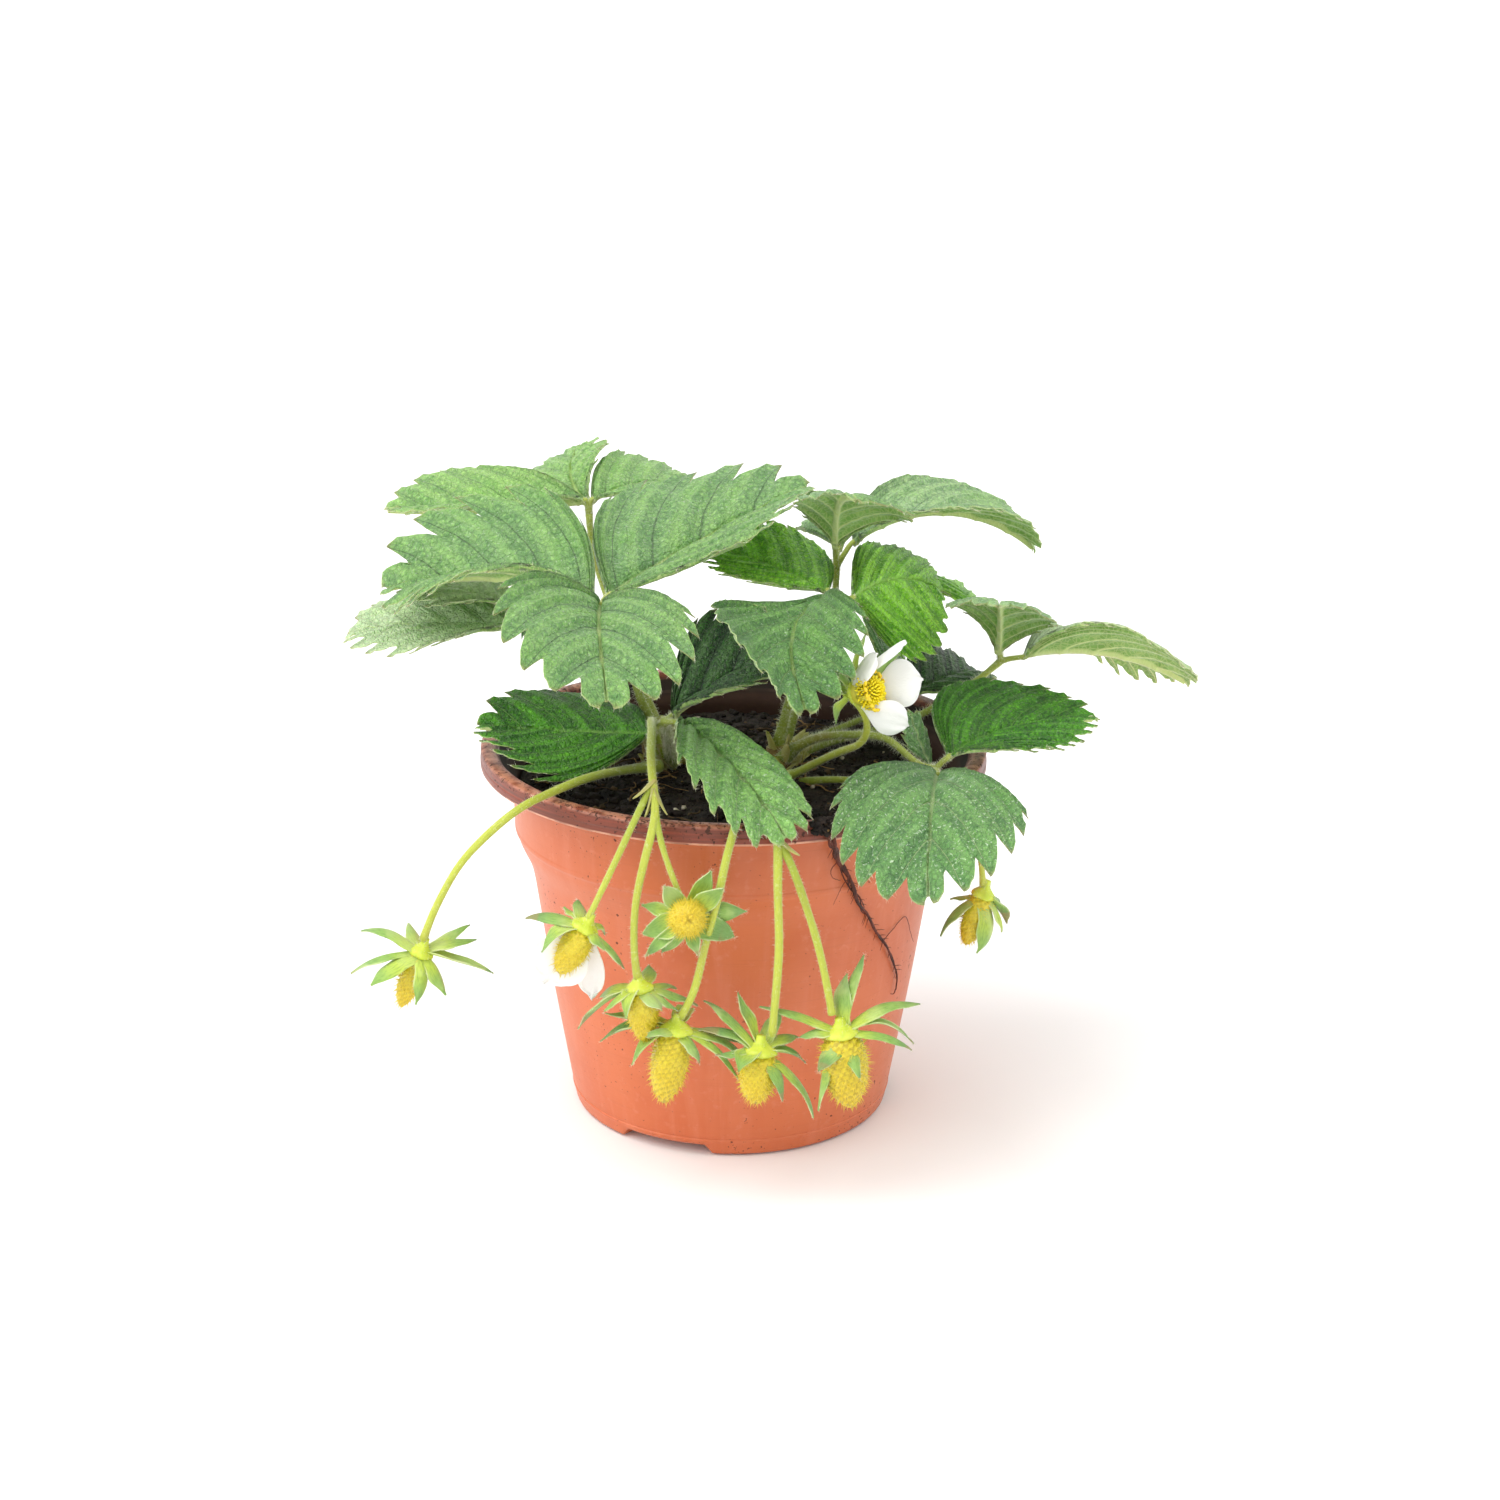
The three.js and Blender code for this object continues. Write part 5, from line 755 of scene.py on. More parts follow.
def berry(bd, c, axis, length, width, rng, mat, spike_mat, count, spike=1.0, shape=.42):
    """Unripe berry: bumpy cone with a blunt end, a bristle on every bump."""
    na, nr = 40, 44
    e1 = unit(np.cross(axis, [.3, .9, .2])); e2 = np.cross(axis, e1)
    s = np.linspace(0, 1, na)
    def radius(s_):
        return (width / 2) * np.interp(s_, [0, .05, .16, shape, .7, .87, .96, 1], [.35, .62, .9, 1, .84, .55, .28, 0.02])
    a = np.arange(nr) * 2 * np.pi / nr
    # bumps on a spiral
    k = np.arange(count) + .5
    sk = 1 - k / count
    # even spacing over the surface: invert the running area
    ss = np.linspace(0, 1, 200); area = np.cumsum(radius(ss) + .02 * width); area /= area[-1]
    sk = np.interp(k / count, area, ss); ak = k * 2.39996
    ck = c + axis * (length * sk)[:, None] + (radius(sk))[:, None] * (np.cos(ak)[:, None] * e1 + np.sin(ak)[:, None] * e2)
    G = c + axis * (length * s)[:, None, None] + radius(s)[:, None, None] * (np.cos(a)[None, :, None] * e1 + np.sin(a)[None, :, None] * e2)
    out = unit(G - (c + axis * (length * (.25 + .45 * s))[:, None, None]))
    dist = np.linalg.norm(G[:, :, None] - ck[None, None], axis=-1).min(-1)
    sp = math.sqrt(math.pi * width * length / count) * .62
    G = G + out * (.34 * np.cos(np.clip(dist / sp, 0, 1) * np.pi / 2) + .16 * np.sin(s[:, None] * 21 + 3 * np.sin(a[None] * 4)) * np.sin(a[None] * 7 + s[:, None] * 9))[..., None]
    F = []
    for i in range(na - 1):
        for j in range(nr):
            F.append((i * nr + j, i * nr + (j + 1) % nr, (i + 1) * nr + (j + 1) % nr, (i + 1) * nr + j))
    F.append(tuple(range(nr))[::-1]); F.append(tuple((na - 1) * nr + j for j in range(nr)))
    tn = np.repeat(s, nr)
    bd.add(G.reshape(-1, 3), F, mat, edge=dist.ravel(), tone=tn)
    o = unit(ck - (c + axis * (length * (.2 + .5 * sk))[:, None]))
    d = unit(o + axis * .15 + rng.normal(0, .22, (count, 3)))
    slivers(bd, ck - o * .05, d, spike * (.75 + .5 * rng.random(count)), .135, rng, spike_mat, .95)
    for q in range(2):
        jit = ck + np.cross(o, rng.normal(0, 1, (count, 3))) * sp * .45
        slivers(bd, jit - o * .15, unit(o + axis * .2 + rng.normal(0, .38, (count, 3))), spike * (.5 + .6 * rng.random(count)), .10, rng, spike_mat, .85)
    # a small seed under each bristle
    seeds(bd, ck + o * .12, o, .26, rng, spike_mat)


def seeds(bd, P, o, r, rng, mat, tone=.35):
    k = len(P)
    e1 = unit(np.cross(o, rng.normal(0, 1, (k, 3)))); e2 = np.cross(o, e1)
    V = np.stack([P + e1 * r, P + e2 * r, P - e1 * r, P - e2 * r, P + o * r * .9], 1).reshape(-1, 3)
    q = np.arange(k) * 5
    F = np.concatenate([np.stack([q + i, q + (i + 1) % 4, q + 4], 1) for i in range(4)])
    bd.add(V, F.tolist(), mat, tone=tone)


def calyx_cup(bd, c, axis, r, depth, rng, mat, neck=None):
    """Fleshy lime cup that the sepals grow from, drawn out to the stalk."""
    na, nr = 16, 28
    e1 = unit(np.cross(axis, [.3, .9, .2])); e2 = np.cross(axis, e1)
    z = np.array([-2.6, -2.1, -1.6, -1.15, -.8, -.45, -.1, .25, .6, .9, 1.15, 1.3, 1.2, .95, .7, .5]) * depth
    rr = np.array([.26, .28, .32, .40, .52, .68, .84, .96, 1.0, .98, .9, .78, .62, .45, .25, .02]) * r
    a = np.arange(nr) * 2 * np.pi / nr
    wob = 1 + .05 * np.cos(5 * a + 1) + .03 * np.cos(10 * a)
    G = c + axis * z[:, None, None] + (rr[:, None] * wob[None])[..., None] * (np.cos(a)[None, :, None] * e1 + np.sin(a)[None, :, None] * e2)
    F = []
    for i in range(na - 1):
        for j in range(nr):
            F.append((i * nr + j, i * nr + (j + 1) % nr, (i + 1) * nr + (j + 1) % nr, (i + 1) * nr + j))
    F.append(tuple(range(nr))[::-1]); F.append(tuple((na - 1) * nr + j for j in range(nr)))
    bd.add(G.reshape(-1, 3), F, mat, tone=np.repeat(np.linspace(1, .5, na), nr))
    k = 110
    i = rng.integers(0, 10, k); j = rng.integers(0, nr, k)
    slivers(bd, G[i, j], unit(unit(G[i, j] - c) - axis * .2 + rng.normal(0, .2, (k, 3))), .6 + .5 * rng.random(k), .025, rng, 1, .9)


def fruit(row, seed):
    rng = np.random.default_rng(seed)
    name, c, e, w, sep = row
    c = np.array(c); e = np.array(e)
    ax = e - c; L = np.linalg.norm(ax); ax = ax / L
    bd = Build()
    big = w > 7.5
    cup = np.clip(w * .46, 2.8, 3.9)
    calyx_cup(bd, c, ax, cup, 1.15, rng, 2)
    berry(bd, c + ax * .5, ax, max(L - .3, 3.2), w * .93, rng, 0, 4, int(130 + 12 * w), 1.25 + .06 * w)
    for i, t in enumerate(sep):
        wd = (4.4 if i % 2 == 0 else 3.4) * (1.08 if big else .98)
        sepal_leaf(bd, c + ax * .15, t, -ax, wd, rng, 3, curl=.04 + .12 * rng.random(), start=cup * .45)
    return bd.make(name, [BERRY, HAIR, CUP, SEPAL, STYLE], [name])


# ------------------------------------------------------------------ flower
def petal(name, rows, nodes, seed):
    bd = Build()
    rng = np.random.default_rng(seed)
    for (claw, tip, width, across, cup) in rows:
        nu, nv = 46, 37
        s = np.linspace(0, 1, nu)[:, None] * np.ones((1, nv)); v = np.ones((nu, 1)) * np.linspace(-1, 1, nv)[None]
        a = np.array(claw, float); d = np.array(tip, float) - a
        L = np.linalg.norm(d); d = d / L
        w = np.array(across, float); w = unit(w - d * (w @ d)); n = np.cross(d, w)
        f = .13 + .87 * np.sin(np.pi / 2 * np.clip(s / .62, 0, 1)) ** 1.5
        q = np.clip((s - .62) / .38, 0, 1)
        f = np.where(s > .62, np.sqrt(np.maximum(1 - q ** 2.3, .012)), f)
        # round outline: the middle reaches further than the sides
        ss = s - .10 * s ** 2 * v ** 2
        k = rng.random(4) * 6.28
        z = cup * (v ** 2 * f * .6 - 4 * s * (1 - s) * .5) + .22 * np.sin(v * 5 + k[0]) * s ** 2 + .15 * np.sin(s * 7 + k[1]) * v + .10 * np.sin(11 * v + 5 * s + k[2]) * s ** 3
        G = a + d * (L * ss)[..., None] + w * ((width / 2) * f * v)[..., None] + n * z[..., None]
        mmv = np.stack([s * L * .1, v * width * f * .05], -1)
        sheet(bd, G, normals(G), .2, (0, 0, 0), mmv, mmv, (1 - np.abs(v)) * 3, (s * 1.0).ravel())
    return bd.make(name, [PETAL], nodes)


def flower_head(seed):
    rng = np.random.default_rng(seed)
    bd = Build()
    c = np.array(FLOWER["calyx"]); n = unit(np.array(FLOWER["facing"]) - c); dome = np.array(FLOWER["centre"])
    calyx_cup(bd, c + n * .6, n, 2.7, .8, rng, 2)
    # dome of pistils
    r = 3.3
    k = 190
    i = np.arange(k) + .5
    ph = np.arccos(1 - i / k * 1.15); th = i * 2.39996
    e1 = unit(np.cross(n, [.2, .3, 1])); e2 = np.cross(n, e1)
    o = np.cos(ph)[:, None] * n + np.sin(ph)[:, None] * (np.cos(th)[:, None] * e1 + np.sin(th)[:, None] * e2)
    P = dome - n * .6 + o * np.array([r])[:, None]
    # core
    nr, na = 24, 14
    a = np.arange(nr) * 2 * np.pi / nr; f = np.linspace(.02, 2.0, na)
    G = dome - n * .8 + r * .93 * (np.cos(f)[:, None, None] * n + np.sin(f)[:, None, None] * (np.cos(a)[None, :, None] * e1 + np.sin(a)[None, :, None] * e2))
    F = [(q * nr + j, (q + 1) * nr + j, (q + 1) * nr + (j + 1) % nr, q * nr + (j + 1) % nr) for q in range(na - 1) for j in range(nr)]
    F += [tuple(range(nr)), tuple((na - 1) * nr + j for j in range(nr))[::-1]]
    bd.add(G.reshape(-1, 3), F, 0, tone=.4)
    # receptacle between core and calyx
    tube(bd, np.array([c + n * .8, dome - n * 2.6, dome - n * .6]), np.array([2.3, 2.7, 2.9]), 20, 0)
    for q in range(k):
        tube(bd, np.array([P[q] - o[q] * .3, P[q] + o[q] * .45, P[q] + o[q] * .95 + rng.normal(0, .12, 3)]), np.array([.3, .26, .16]), 5, 4, tone=.6 + .4 * rng.random())
    # stamens with anthers round the dome
    for q in range(24):
        t = q / 24 * 2 * np.pi + rng.normal(0, .08)
        rad_ = np.cos(t) * e1 + np.sin(t) * e2
        b0 = dome - n * 2.0 + rad_ * 2.9
        b1 = dome + rad_ * (4.0 + .5 * rng.random()) - n * (.2 * rng.random())
        b2 = b1 + n * (1.5 + .5 * rng.random()) + rad_ * .3
        tube(bd, np.array([b0, b1, b2]), .16, 5, 0, tone=.9)
        ad = unit(np.cross(n, rad_) + rng.normal(0, .4, 3))
        tube(bd, np.array([b2 - ad * .62, b2 - ad * .3, b2 + ad * .3, b2 + ad * .62]), np.array([.16, .42, .42, .16]), 7, 5, tone=.5)
    for i_, t in enumerate(FLOWER["sepals"]):
        sepal_leaf(bd, c + n * .8, t, -n, 3.0, rng, 3, curl=.08, start=1.4)
    return bd.make("flower_head_detail", [CORE, HAIR, CUP, SEPAL, PISTIL, ANTHER], ["flower_head"])

# ------------------------------------------------------------------ materials of the object
TOPS = {
    # painted sheen: the "pale", "haze" and "wan" greens are lightened and greyed for the white sky reflected off the
    # leaflets
    "pale": leaf_top("leaf_top_pale_painted_sheen", (123, 163, 100), (134, 177, 90), (85, 131, 70), vein=(190, 206, 132), groove=.6, valley_shade=.2),
    "haze": leaf_top("leaf_top_haze_painted_sheen", (150, 182, 134), (156, 190, 122), (112, 152, 100), vein=(188, 206, 146), groove=.3, fine=.4, valley_shade=.14),
    "back": leaf_top("leaf_top_back", (138, 177, 105), (150, 190, 102), (104, 152, 78), vein=(186, 208, 128), fine=.25),
    "wan": leaf_top("leaf_top_wan_painted_sheen", (180, 203, 158), (190, 212, 162), (162, 189, 140), vein=(206, 218, 158), groove=.2, fine=.35, line=.4, fleck=.2),
    "mid": leaf_top("leaf_top_mid", (96, 142, 80), (112, 158, 74), (66, 110, 56), vein=(160, 184, 104), fleck=.5, line=.25),
    "grey": leaf_top("leaf_top_grey", (104, 148, 84), (118, 162, 86), (72, 116, 64), vein=(182, 200, 142), fleck=.9, hairy=.4, line=.4, groove=.25),
    "grey_2": leaf_top("leaf_top_grey_2", (120, 168, 92), (136, 184, 96), (86, 132, 70), vein=(182, 200, 142), fleck=.7, hairy=.3, line=.4, groove=.3),
    "sat": leaf_top("leaf_top_saturated", (54, 116, 14), (92, 166, 20), (30, 82, 12), vein=(134, 182, 84), fleck=.2, fine=.6, line=.45, groove=.25, valley_shade=.2),
    "bright": leaf_top("leaf_top_bright", (122, 194, 40), (166, 228, 72), (78, 144, 28), vein=(160, 204, 98), fleck=.4, fine=.6, line=.4, groove=.25),
    # painted shade: the "dark" greens stand for leaflets lying in shade under the leaves above
    "dark": leaf_top("leaf_top_painted_shade", (54, 90, 44), (70, 108, 50), (28, 54, 32), vein=(110, 146, 84), fleck=.2, fine=.6, groove=.5, valley_shade=.6),
}
UNDER = leaf_under("leaf_under")
STEM = stem_mat("stem_skin", (140, 156, 60), (168, 182, 80), redness=.3)
STALK = stem_mat("stalk_skin", (156, 172, 52), (188, 196, 72), redness=.12)
SCALE = stem_mat("papery_scale", (168, 166, 88), (182, 176, 104), (150, 96, 60), .35, .6, .05)
HAIR = None


def hair_mat():
    m = Mat("silky_hair")
    n1 = m.noise(220.0, 2.0)
    m.set(color=m.mix(n1, lin((226, 232, 190)), lin((246, 248, 226))), rough=.5, spec=.3, sss=.0, sheen=.2)
    return m.m


HAIR = hair_mat()


def berry_mat():
    m = Mat("unripe_berry")
    tone = m.attr("tone"); e = m.attr("edge")
    n1 = m.noise(260.0, 3.0, .6)
    col = m.mix(tone, lin((222, 208, 46)), lin((224, 190, 34)))
    col = m.mix(m.math('MULTIPLY', m.step(n1, .4, .7), .55), col, lin((238, 220, 72)))
    # painted shade: the skin in the hollows between the bumps, away from every bristle, is darkened
    col = m.mix(m.math('MULTIPLY', m.step(e, .25, .8), .75), col, lin((158, 134, 20)))
    nb = m.bump(m.noise(1400.0, 3.0, .6), .0002, .6)
    m.set(color=col, rough=.42, normal=nb, spec=.45, sss=.22, coat=.08)
    m.b.inputs["Subsurface Radius"].default_value = (1.0, .8, .2)
    m.b.inputs["Subsurface Scale"].default_value = .0022
    return m.m


def style_mat():
    m = Mat("berry_style")
    n1 = m.noise(700.0, 2.0)
    m.set(color=m.mix(n1, lin((232, 202, 34)), lin((248, 226, 84))), rough=.5, spec=.35, sss=.05)
    return m.m


def cup_mat():
    m = Mat("calyx_cup")
    tone = m.attr("tone")
    n1 = m.noise(180.0, 3.0, .6)
    col = m.mix(m.step(n1, .3, .7), lin((190, 208, 58)), lin((212, 222, 84)))
    col = m.mix(m.math('MULTIPLY', m.step(m.noise(420.0, 3.0), .5, .75), .4), col, lin((158, 184, 56)))
    nb = m.bump(m.noise(1300.0, 3.0), .00022, .6)
    m.set(color=col, rough=.42, normal=nb, spec=.45, sss=.18)
    m.b.inputs["Subsurface Radius"].default_value = (.8, 1.0, .2)
    m.b.inputs["Subsurface Scale"].default_value = .002
    return m.m


def sepal_mat():
    m = Mat("sepal_skin")
    mmv = m.uv("mm"); p = m.sep(mmv)
    tone = m.attr("tone"); e = m.attr("edge")
    streak = m.n("CombineXYZ")
    m.put(streak.inputs[0], m.math('MULTIPLY', p[0], 1.0)); m.put(streak.inputs[1], m.math('MULTIPLY', p[1], 7.0))
    s = m.noise(6.0, 3.0, .6, vec=streak.outputs[0])
    big = m.noise(120.0, 3.0)
    col = m.mix(m.step(tone, .05, .5), lin((182, 202, 74)), lin((138, 174, 84)))
    col = m.mix(m.step(tone, .55, .95), col, lin((116, 152, 84)))
    col = m.mix(m.math('MULTIPLY', m.step(s, .45, .7), .55), col, lin((86, 124, 54)))
    col = m.mix(m.math('MULTIPLY', m.step(big, .50, .64), .5), col, lin((184, 202, 128)))
    col = m.mix(m.math('MULTIPLY', m.math('MULTIPLY', m.step(e, .36, .05), .55), m.step(m.noise(180.0, 2.0), .40, .6)), col, lin((216, 222, 172)))
    red = m.math('MULTIPLY', m.step(tone, .93, 1.0), m.step(m.noise(95.0, 1.0), .45, .6))
    col = m.mix(m.math('MULTIPLY', red, .4), col, lin((164, 108, 84)))
    nb = m.bump(m.math('ADD', s, m.noise(1500.0, 2.0)), .00018, .6)
    m.set(color=col, rough=.5, normal=nb, spec=.4, sss=.10, sheen=.25, sheenr=.45)
    m.b.inputs["Subsurface Radius"].default_value = (.6, 1.0, .2)
    m.b.inputs["Subsurface Scale"].default_value = .0014
    return m.m


def petal_mat():
    m = Mat("petal_skin")
    p = m.sep(m.uv("mm")); tone = m.attr("tone")
    streak = m.n("CombineXYZ")
    m.put(streak.inputs[0], m.math('MULTIPLY', p[0], .8)); m.put(streak.inputs[1], m.math('MULTIPLY', p[1], 9.0))
    s = m.noise(9.0, 3.0, .5, vec=streak.outputs[0])
    col = m.mix(m.step(tone, .0, .22), lin((232, 236, 190)), lin((244, 244, 240)))
    col = m.mix(m.math('MULTIPLY', m.step(s, .5, .75), .30), col, lin((222, 224, 218)))
    nb = m.bump(m.math('ADD', s, m.math('MULTIPLY', m.noise(900.0, 2.0), .4)), .00018, .55)
    m.set(color=col, rough=.55, normal=nb, spec=.35, sss=.25, sheen=.2, sheenr=.5)
    m.b.inputs["Subsurface Radius"].default_value = (1.0, 1.0, .9)
    m.b.inputs["Subsurface Scale"].default_value = .003
    return m.m


def yellow_mat(name, a, b, dark, scale=300.0):
    m = Mat(name)
    tone = m.attr("tone")
    n1 = m.noise(scale, 3.0)
    col = m.mix(m.step(n1, .3, .7), lin(a), lin(b))
    col = m.mix(m.math('MULTIPLY', m.step(tone, .8, .3), .35), col, lin(dark))
    m.set(color=col, rough=.5, normal=m.bump(m.noise(1500.0, 2.0), .0002, .5), spec=.4, sss=.15)
    m.b.inputs["Subsurface Radius"].default_value = (1.0, .8, .2)
    m.b.inputs["Subsurface Scale"].default_value = .0015
    return m.m


BERRY = berry_mat(); STYLE = style_mat(); CUP = cup_mat(); SEPAL = sepal_mat(); PETAL = petal_mat()
CORE = yellow_mat("flower_core", (214, 200, 60), (228, 214, 84), (150, 160, 40))
PISTIL = yellow_mat("pistil", (255, 230, 14), (255, 240, 50), (236, 206, 20))
ANTHER = yellow_mat("anther", (252, 214, 30), (255, 228, 70), (232, 176, 24))


def soil_mat():
    m = Mat("peat_soil")
    n1 = m.noise(160.0, 5.0, .65); n2 = m.noise(900.0, 4.0, .65); n3 = m.noise(2600.0, 2.0)
    tone = m.attr("tone")
    col = m.mix(m.step(n1, .3, .72), lin((20, 16, 14)), lin((50, 40, 34)))
    col = m.mix(m.math('MULTIPLY', m.step(n2, .5, .75), .6), col, lin((78, 60, 46)))
    col = m.mix(m.step(tone, .6, 1.0), col, lin((142, 112, 72)))
    col = m.mix(m.step(tone, .4, .0), col, lin((14, 11, 10)))
    h = m.math('MULTIPLY_ADD', n2, .6, m.math('MULTIPLY', n3, .4))
    m.set(color=col, rough=m.math('MULTIPLY_ADD', n2, -.25, .95), normal=m.bump(h, .0009, .8), spec=.3)
    return m.m


def crown_mat():
    m = Mat("crown_bark")
    n1 = m.noise(120.0, 4.0, .6); n2 = m.noise(600.0, 4.0, .6); tone = m.attr("tone")
    col = m.mix(m.step(n1, .35, .65), lin((150, 150, 62)), lin((120, 92, 52)))
    col = m.mix(m.math('MULTIPLY', m.step(n2, .5, .72), .6), col, lin((78, 56, 36)))
    col = m.mix(m.step(tone, .6, 1.0), col, lin((176, 178, 84)))
    m.set(color=col, rough=.65, normal=m.bump(m.math('ADD', n1, n2), .0008, .7), spec=.35, sss=.04)
    return m.m


def root_mat():
    m = Mat("root_skin")
    n1 = m.noise(260.0, 4.0, .6); n2 = m.noise(1200.0, 3.0)
    col = m.mix(m.step(n1, .35, .65), lin((54, 24, 16)), lin((98, 42, 26)))
    col = m.mix(m.math('MULTIPLY', m.step(n2, .55, .7), .5), col, lin((32, 16, 12)))
    m.set(color=col, rough=.6, normal=m.bump(n2, .0003, .7), spec=.35)
    return m.m


def pot_mat():
    m = Mat("terracotta_plastic")
    g = m.n("NewGeometry"); P = m.sep(g.outputs["Position"]) if False else m.sep(m.obj())
    z = P[2]
    # faint flow lines up the wall, blotches and horizontal scuffs under the rim
    ang = m.math('ARCTAN2', P[1], P[0])
    cv = m.n("CombineXYZ")
    m.put(cv.inputs[0], m.math('MULTIPLY', ang, 9.0)); m.put(cv.inputs[1], m.math('MULTIPLY', z, 22.0))
    flow = m.noise(1.0, 4.0, .6, vec=cv.outputs[0], dist=.6)
    ch = m.n("CombineXYZ")
    m.put(ch.inputs[0], m.math('MULTIPLY', ang, 1.6)); m.put(ch.inputs[1], m.math('MULTIPLY', z, 1500.0))
    scuff = m.noise(1.0, 3.0, .65, vec=ch.outputs[0])
    blotch = m.noise(28.0, 4.0, .6)
    fine = m.noise(2400.0, 2.0, .6)
    mid = m.noise(420.0, 3.0, .6)
    col = m.mix(m.step(blotch, .3, .7), lin((194, 95, 50)), lin((204, 108, 63)))
    col = m.mix(m.math('MULTIPLY', m.step(flow, .45, .75), .35), col, lin((212, 124, 90)))
    col = m.mix(m.math('MULTIPLY', m.step(mid, .55, .8), .22), col, lin((224, 150, 122)))
    hi = m.step(z, .0795, .0865)
    sc = m.math('MULTIPLY', m.step(scuff, .52, .74), m.math('MULTIPLY_ADD', hi, .62, .10))
    col = m.mix(sc, col, lin((150, 72, 46)))
    # painted shade: the outer band of the rim, above 84.6 mm, is darkened to a deep brown for the shadow the leaves
    # cast on it, broken up by the scuff noise
    rim_band_painted_shade = m.math('MULTIPLY', m.step(z, .0846, .0862), .9)
    col = m.mix(rim_band_painted_shade, col, m.mix(m.step(scuff, .35, .7), lin((80, 30, 14)), lin((128, 50, 28))))
    # painted highlights: pale lines along the lower edge of the lip and along the top edge of the rim, broken up by
    # noise
    lip_highlight = m.math('MULTIPLY', m.step(z, .08545, .0857), m.step(z, .0864, .0861))
    col = m.mix(m.math('MULTIPLY', lip_highlight, m.math('MULTIPLY_ADD', m.step(m.noise(200.0, 3.0), .35, .6), .45, .3)), col, lin((236, 174, 144)))
    rim_top_highlight = m.math('MULTIPLY', m.step(z, .0893, .0901), m.step(m.noise(300.0, 3.0), .35, .6))
    col = m.mix(m.math('MULTIPLY', rim_top_highlight, .5), col, lin((228, 158, 130)))
    # peat dust: dense specks at the rim and the foot, few between
    sp = m.noise(1500.0, 2.0, .5)
    sp2 = m.noise(620.0, 2.0, .5)
    near = m.math('ADD', m.step(z, .084, .0905, 0.0, .11), m.step(z, .006, .0, 0.0, .075))
    clus = m.step(m.noise(45.0, 2.0), .45, .65, 0.0, .05)
    thr = m.math('SUBTRACT', m.math('SUBTRACT', .745, near), clus)
    dirt = m.step(sp, thr, m.math('ADD', thr, .03))
    thr2 = m.math('ADD', thr, .01)
    dirt2 = m.step(sp2, thr2, m.math('ADD', thr2, .03))
    dd = m.math('MAXIMUM', dirt, dirt2)
    col = m.mix(m.math('MULTIPLY', dd, .85), col, lin((62, 36, 26)))
    # inside of the pot, above the soil, is darkened nearly to black: smudged with peat, and painted shade on the inner
    # wall
    inner = m.step(m.attr("tone"), .62, .9)
    smudge_and_shade = m.mix(m.step(m.noise(300.0, 4.0, .65), .35, .65), lin((14, 10, 9)), lin((28, 19, 15)))
    col = m.mix(m.math('MULTIPLY', inner, .94), col, smudge_and_shade)
    h = m.math('MULTIPLY_ADD', fine, .5, m.math('MULTIPLY', mid, .5))
    nb = m.bump(h, .00012, .45)
    nb = m.bump(scuff, .00010, .25, nb)
    nb = m.bump(dd, .0004, .6, nb)
    rough = m.math('MULTIPLY_ADD', mid, .18, .34)
    rough = m.math('MULTIPLY_ADD', dd, .4, rough, clamp=True)
    rough = m.math('MAXIMUM', rough, m.math('MULTIPLY', inner, .85))
    m.set(color=col, rough=rough, normal=nb, spec=.5, sss=.03, coat=.06, coatr=.35)
    m.b.inputs["Subsurface Radius"].default_value = (1.0, .4, .3)
    m.b.inputs["Subsurface Scale"].default_value = .002
    return m.m


SOILM = soil_mat(); CROWNM = crown_mat(); ROOTM = root_mat(); POTM = pot_mat()


def perlite_mat():
    m = Mat("light_crumb")
    n1 = m.noise(700.0, 3.0)
    m.set(color=m.mix(m.step(n1, .35, .65), lin((150, 134, 110)), lin((206, 198, 180))), rough=.85, normal=m.bump(n1, .0005, .6), spec=.2)
    return m.m


CRUMB = perlite_mat()

# ------------------------------------------------------------------ pot
NOTCHES = [math.radians(a) for a in (246, 6, 126)]


def fillet(P, r, n=4):
    """Round the corners of a profile: list of (x, z, radius)."""
    out = []
    m = len(P)
    for i in range(m):
        p = np.array(P[i][:2], float); q = P[i][2] if len(P[i]) > 2 else r
        if i in (0, m - 1) or q <= 0:
            out.append(p); continue
        a = np.array(P[i - 1][:2], float) - p; b = np.array(P[i + 1][:2], float) - p
        la, lb = np.linalg.norm(a), np.linalg.norm(b)
        k = min(q, la * .45, lb * .45)
        A = p + a / la * k; B = p + b / lb * k
        for t in np.linspace(0, 1, n):
            out.append((1 - t) ** 2 * A + 2 * t * (1 - t) * p + t * t * B)
    return np.array(out)


def lathe(bd, P, seg, mat=0, tone=.5, shape=None, closed=False):
    a = np.arange(seg) * 2 * np.pi / seg
    n = len(P)
    V = np.zeros((n, seg, 3))
    V[..., 0] = P[:, 0][:, None] * np.cos(a); V[..., 1] = P[:, 0][:, None] * np.sin(a); V[..., 2] = P[:, 1][:, None]
    if shape is not None:
        V = shape(V, a)
    F = []
    for i in range(n if closed else n - 1):
        k = (i + 1) % n
        for j in range(seg):
            q = (j + 1) % seg
            F.append((i * seg + j, i * seg + q, k * seg + q, k * seg + j))
    V = V.reshape(-1, 3)
    if not closed:
        F.append(tuple(range(seg))[::-1]); F.append(tuple((n - 1) * seg + j for j in range(seg)))
    bd.add(V, F, mat, tone=tone)


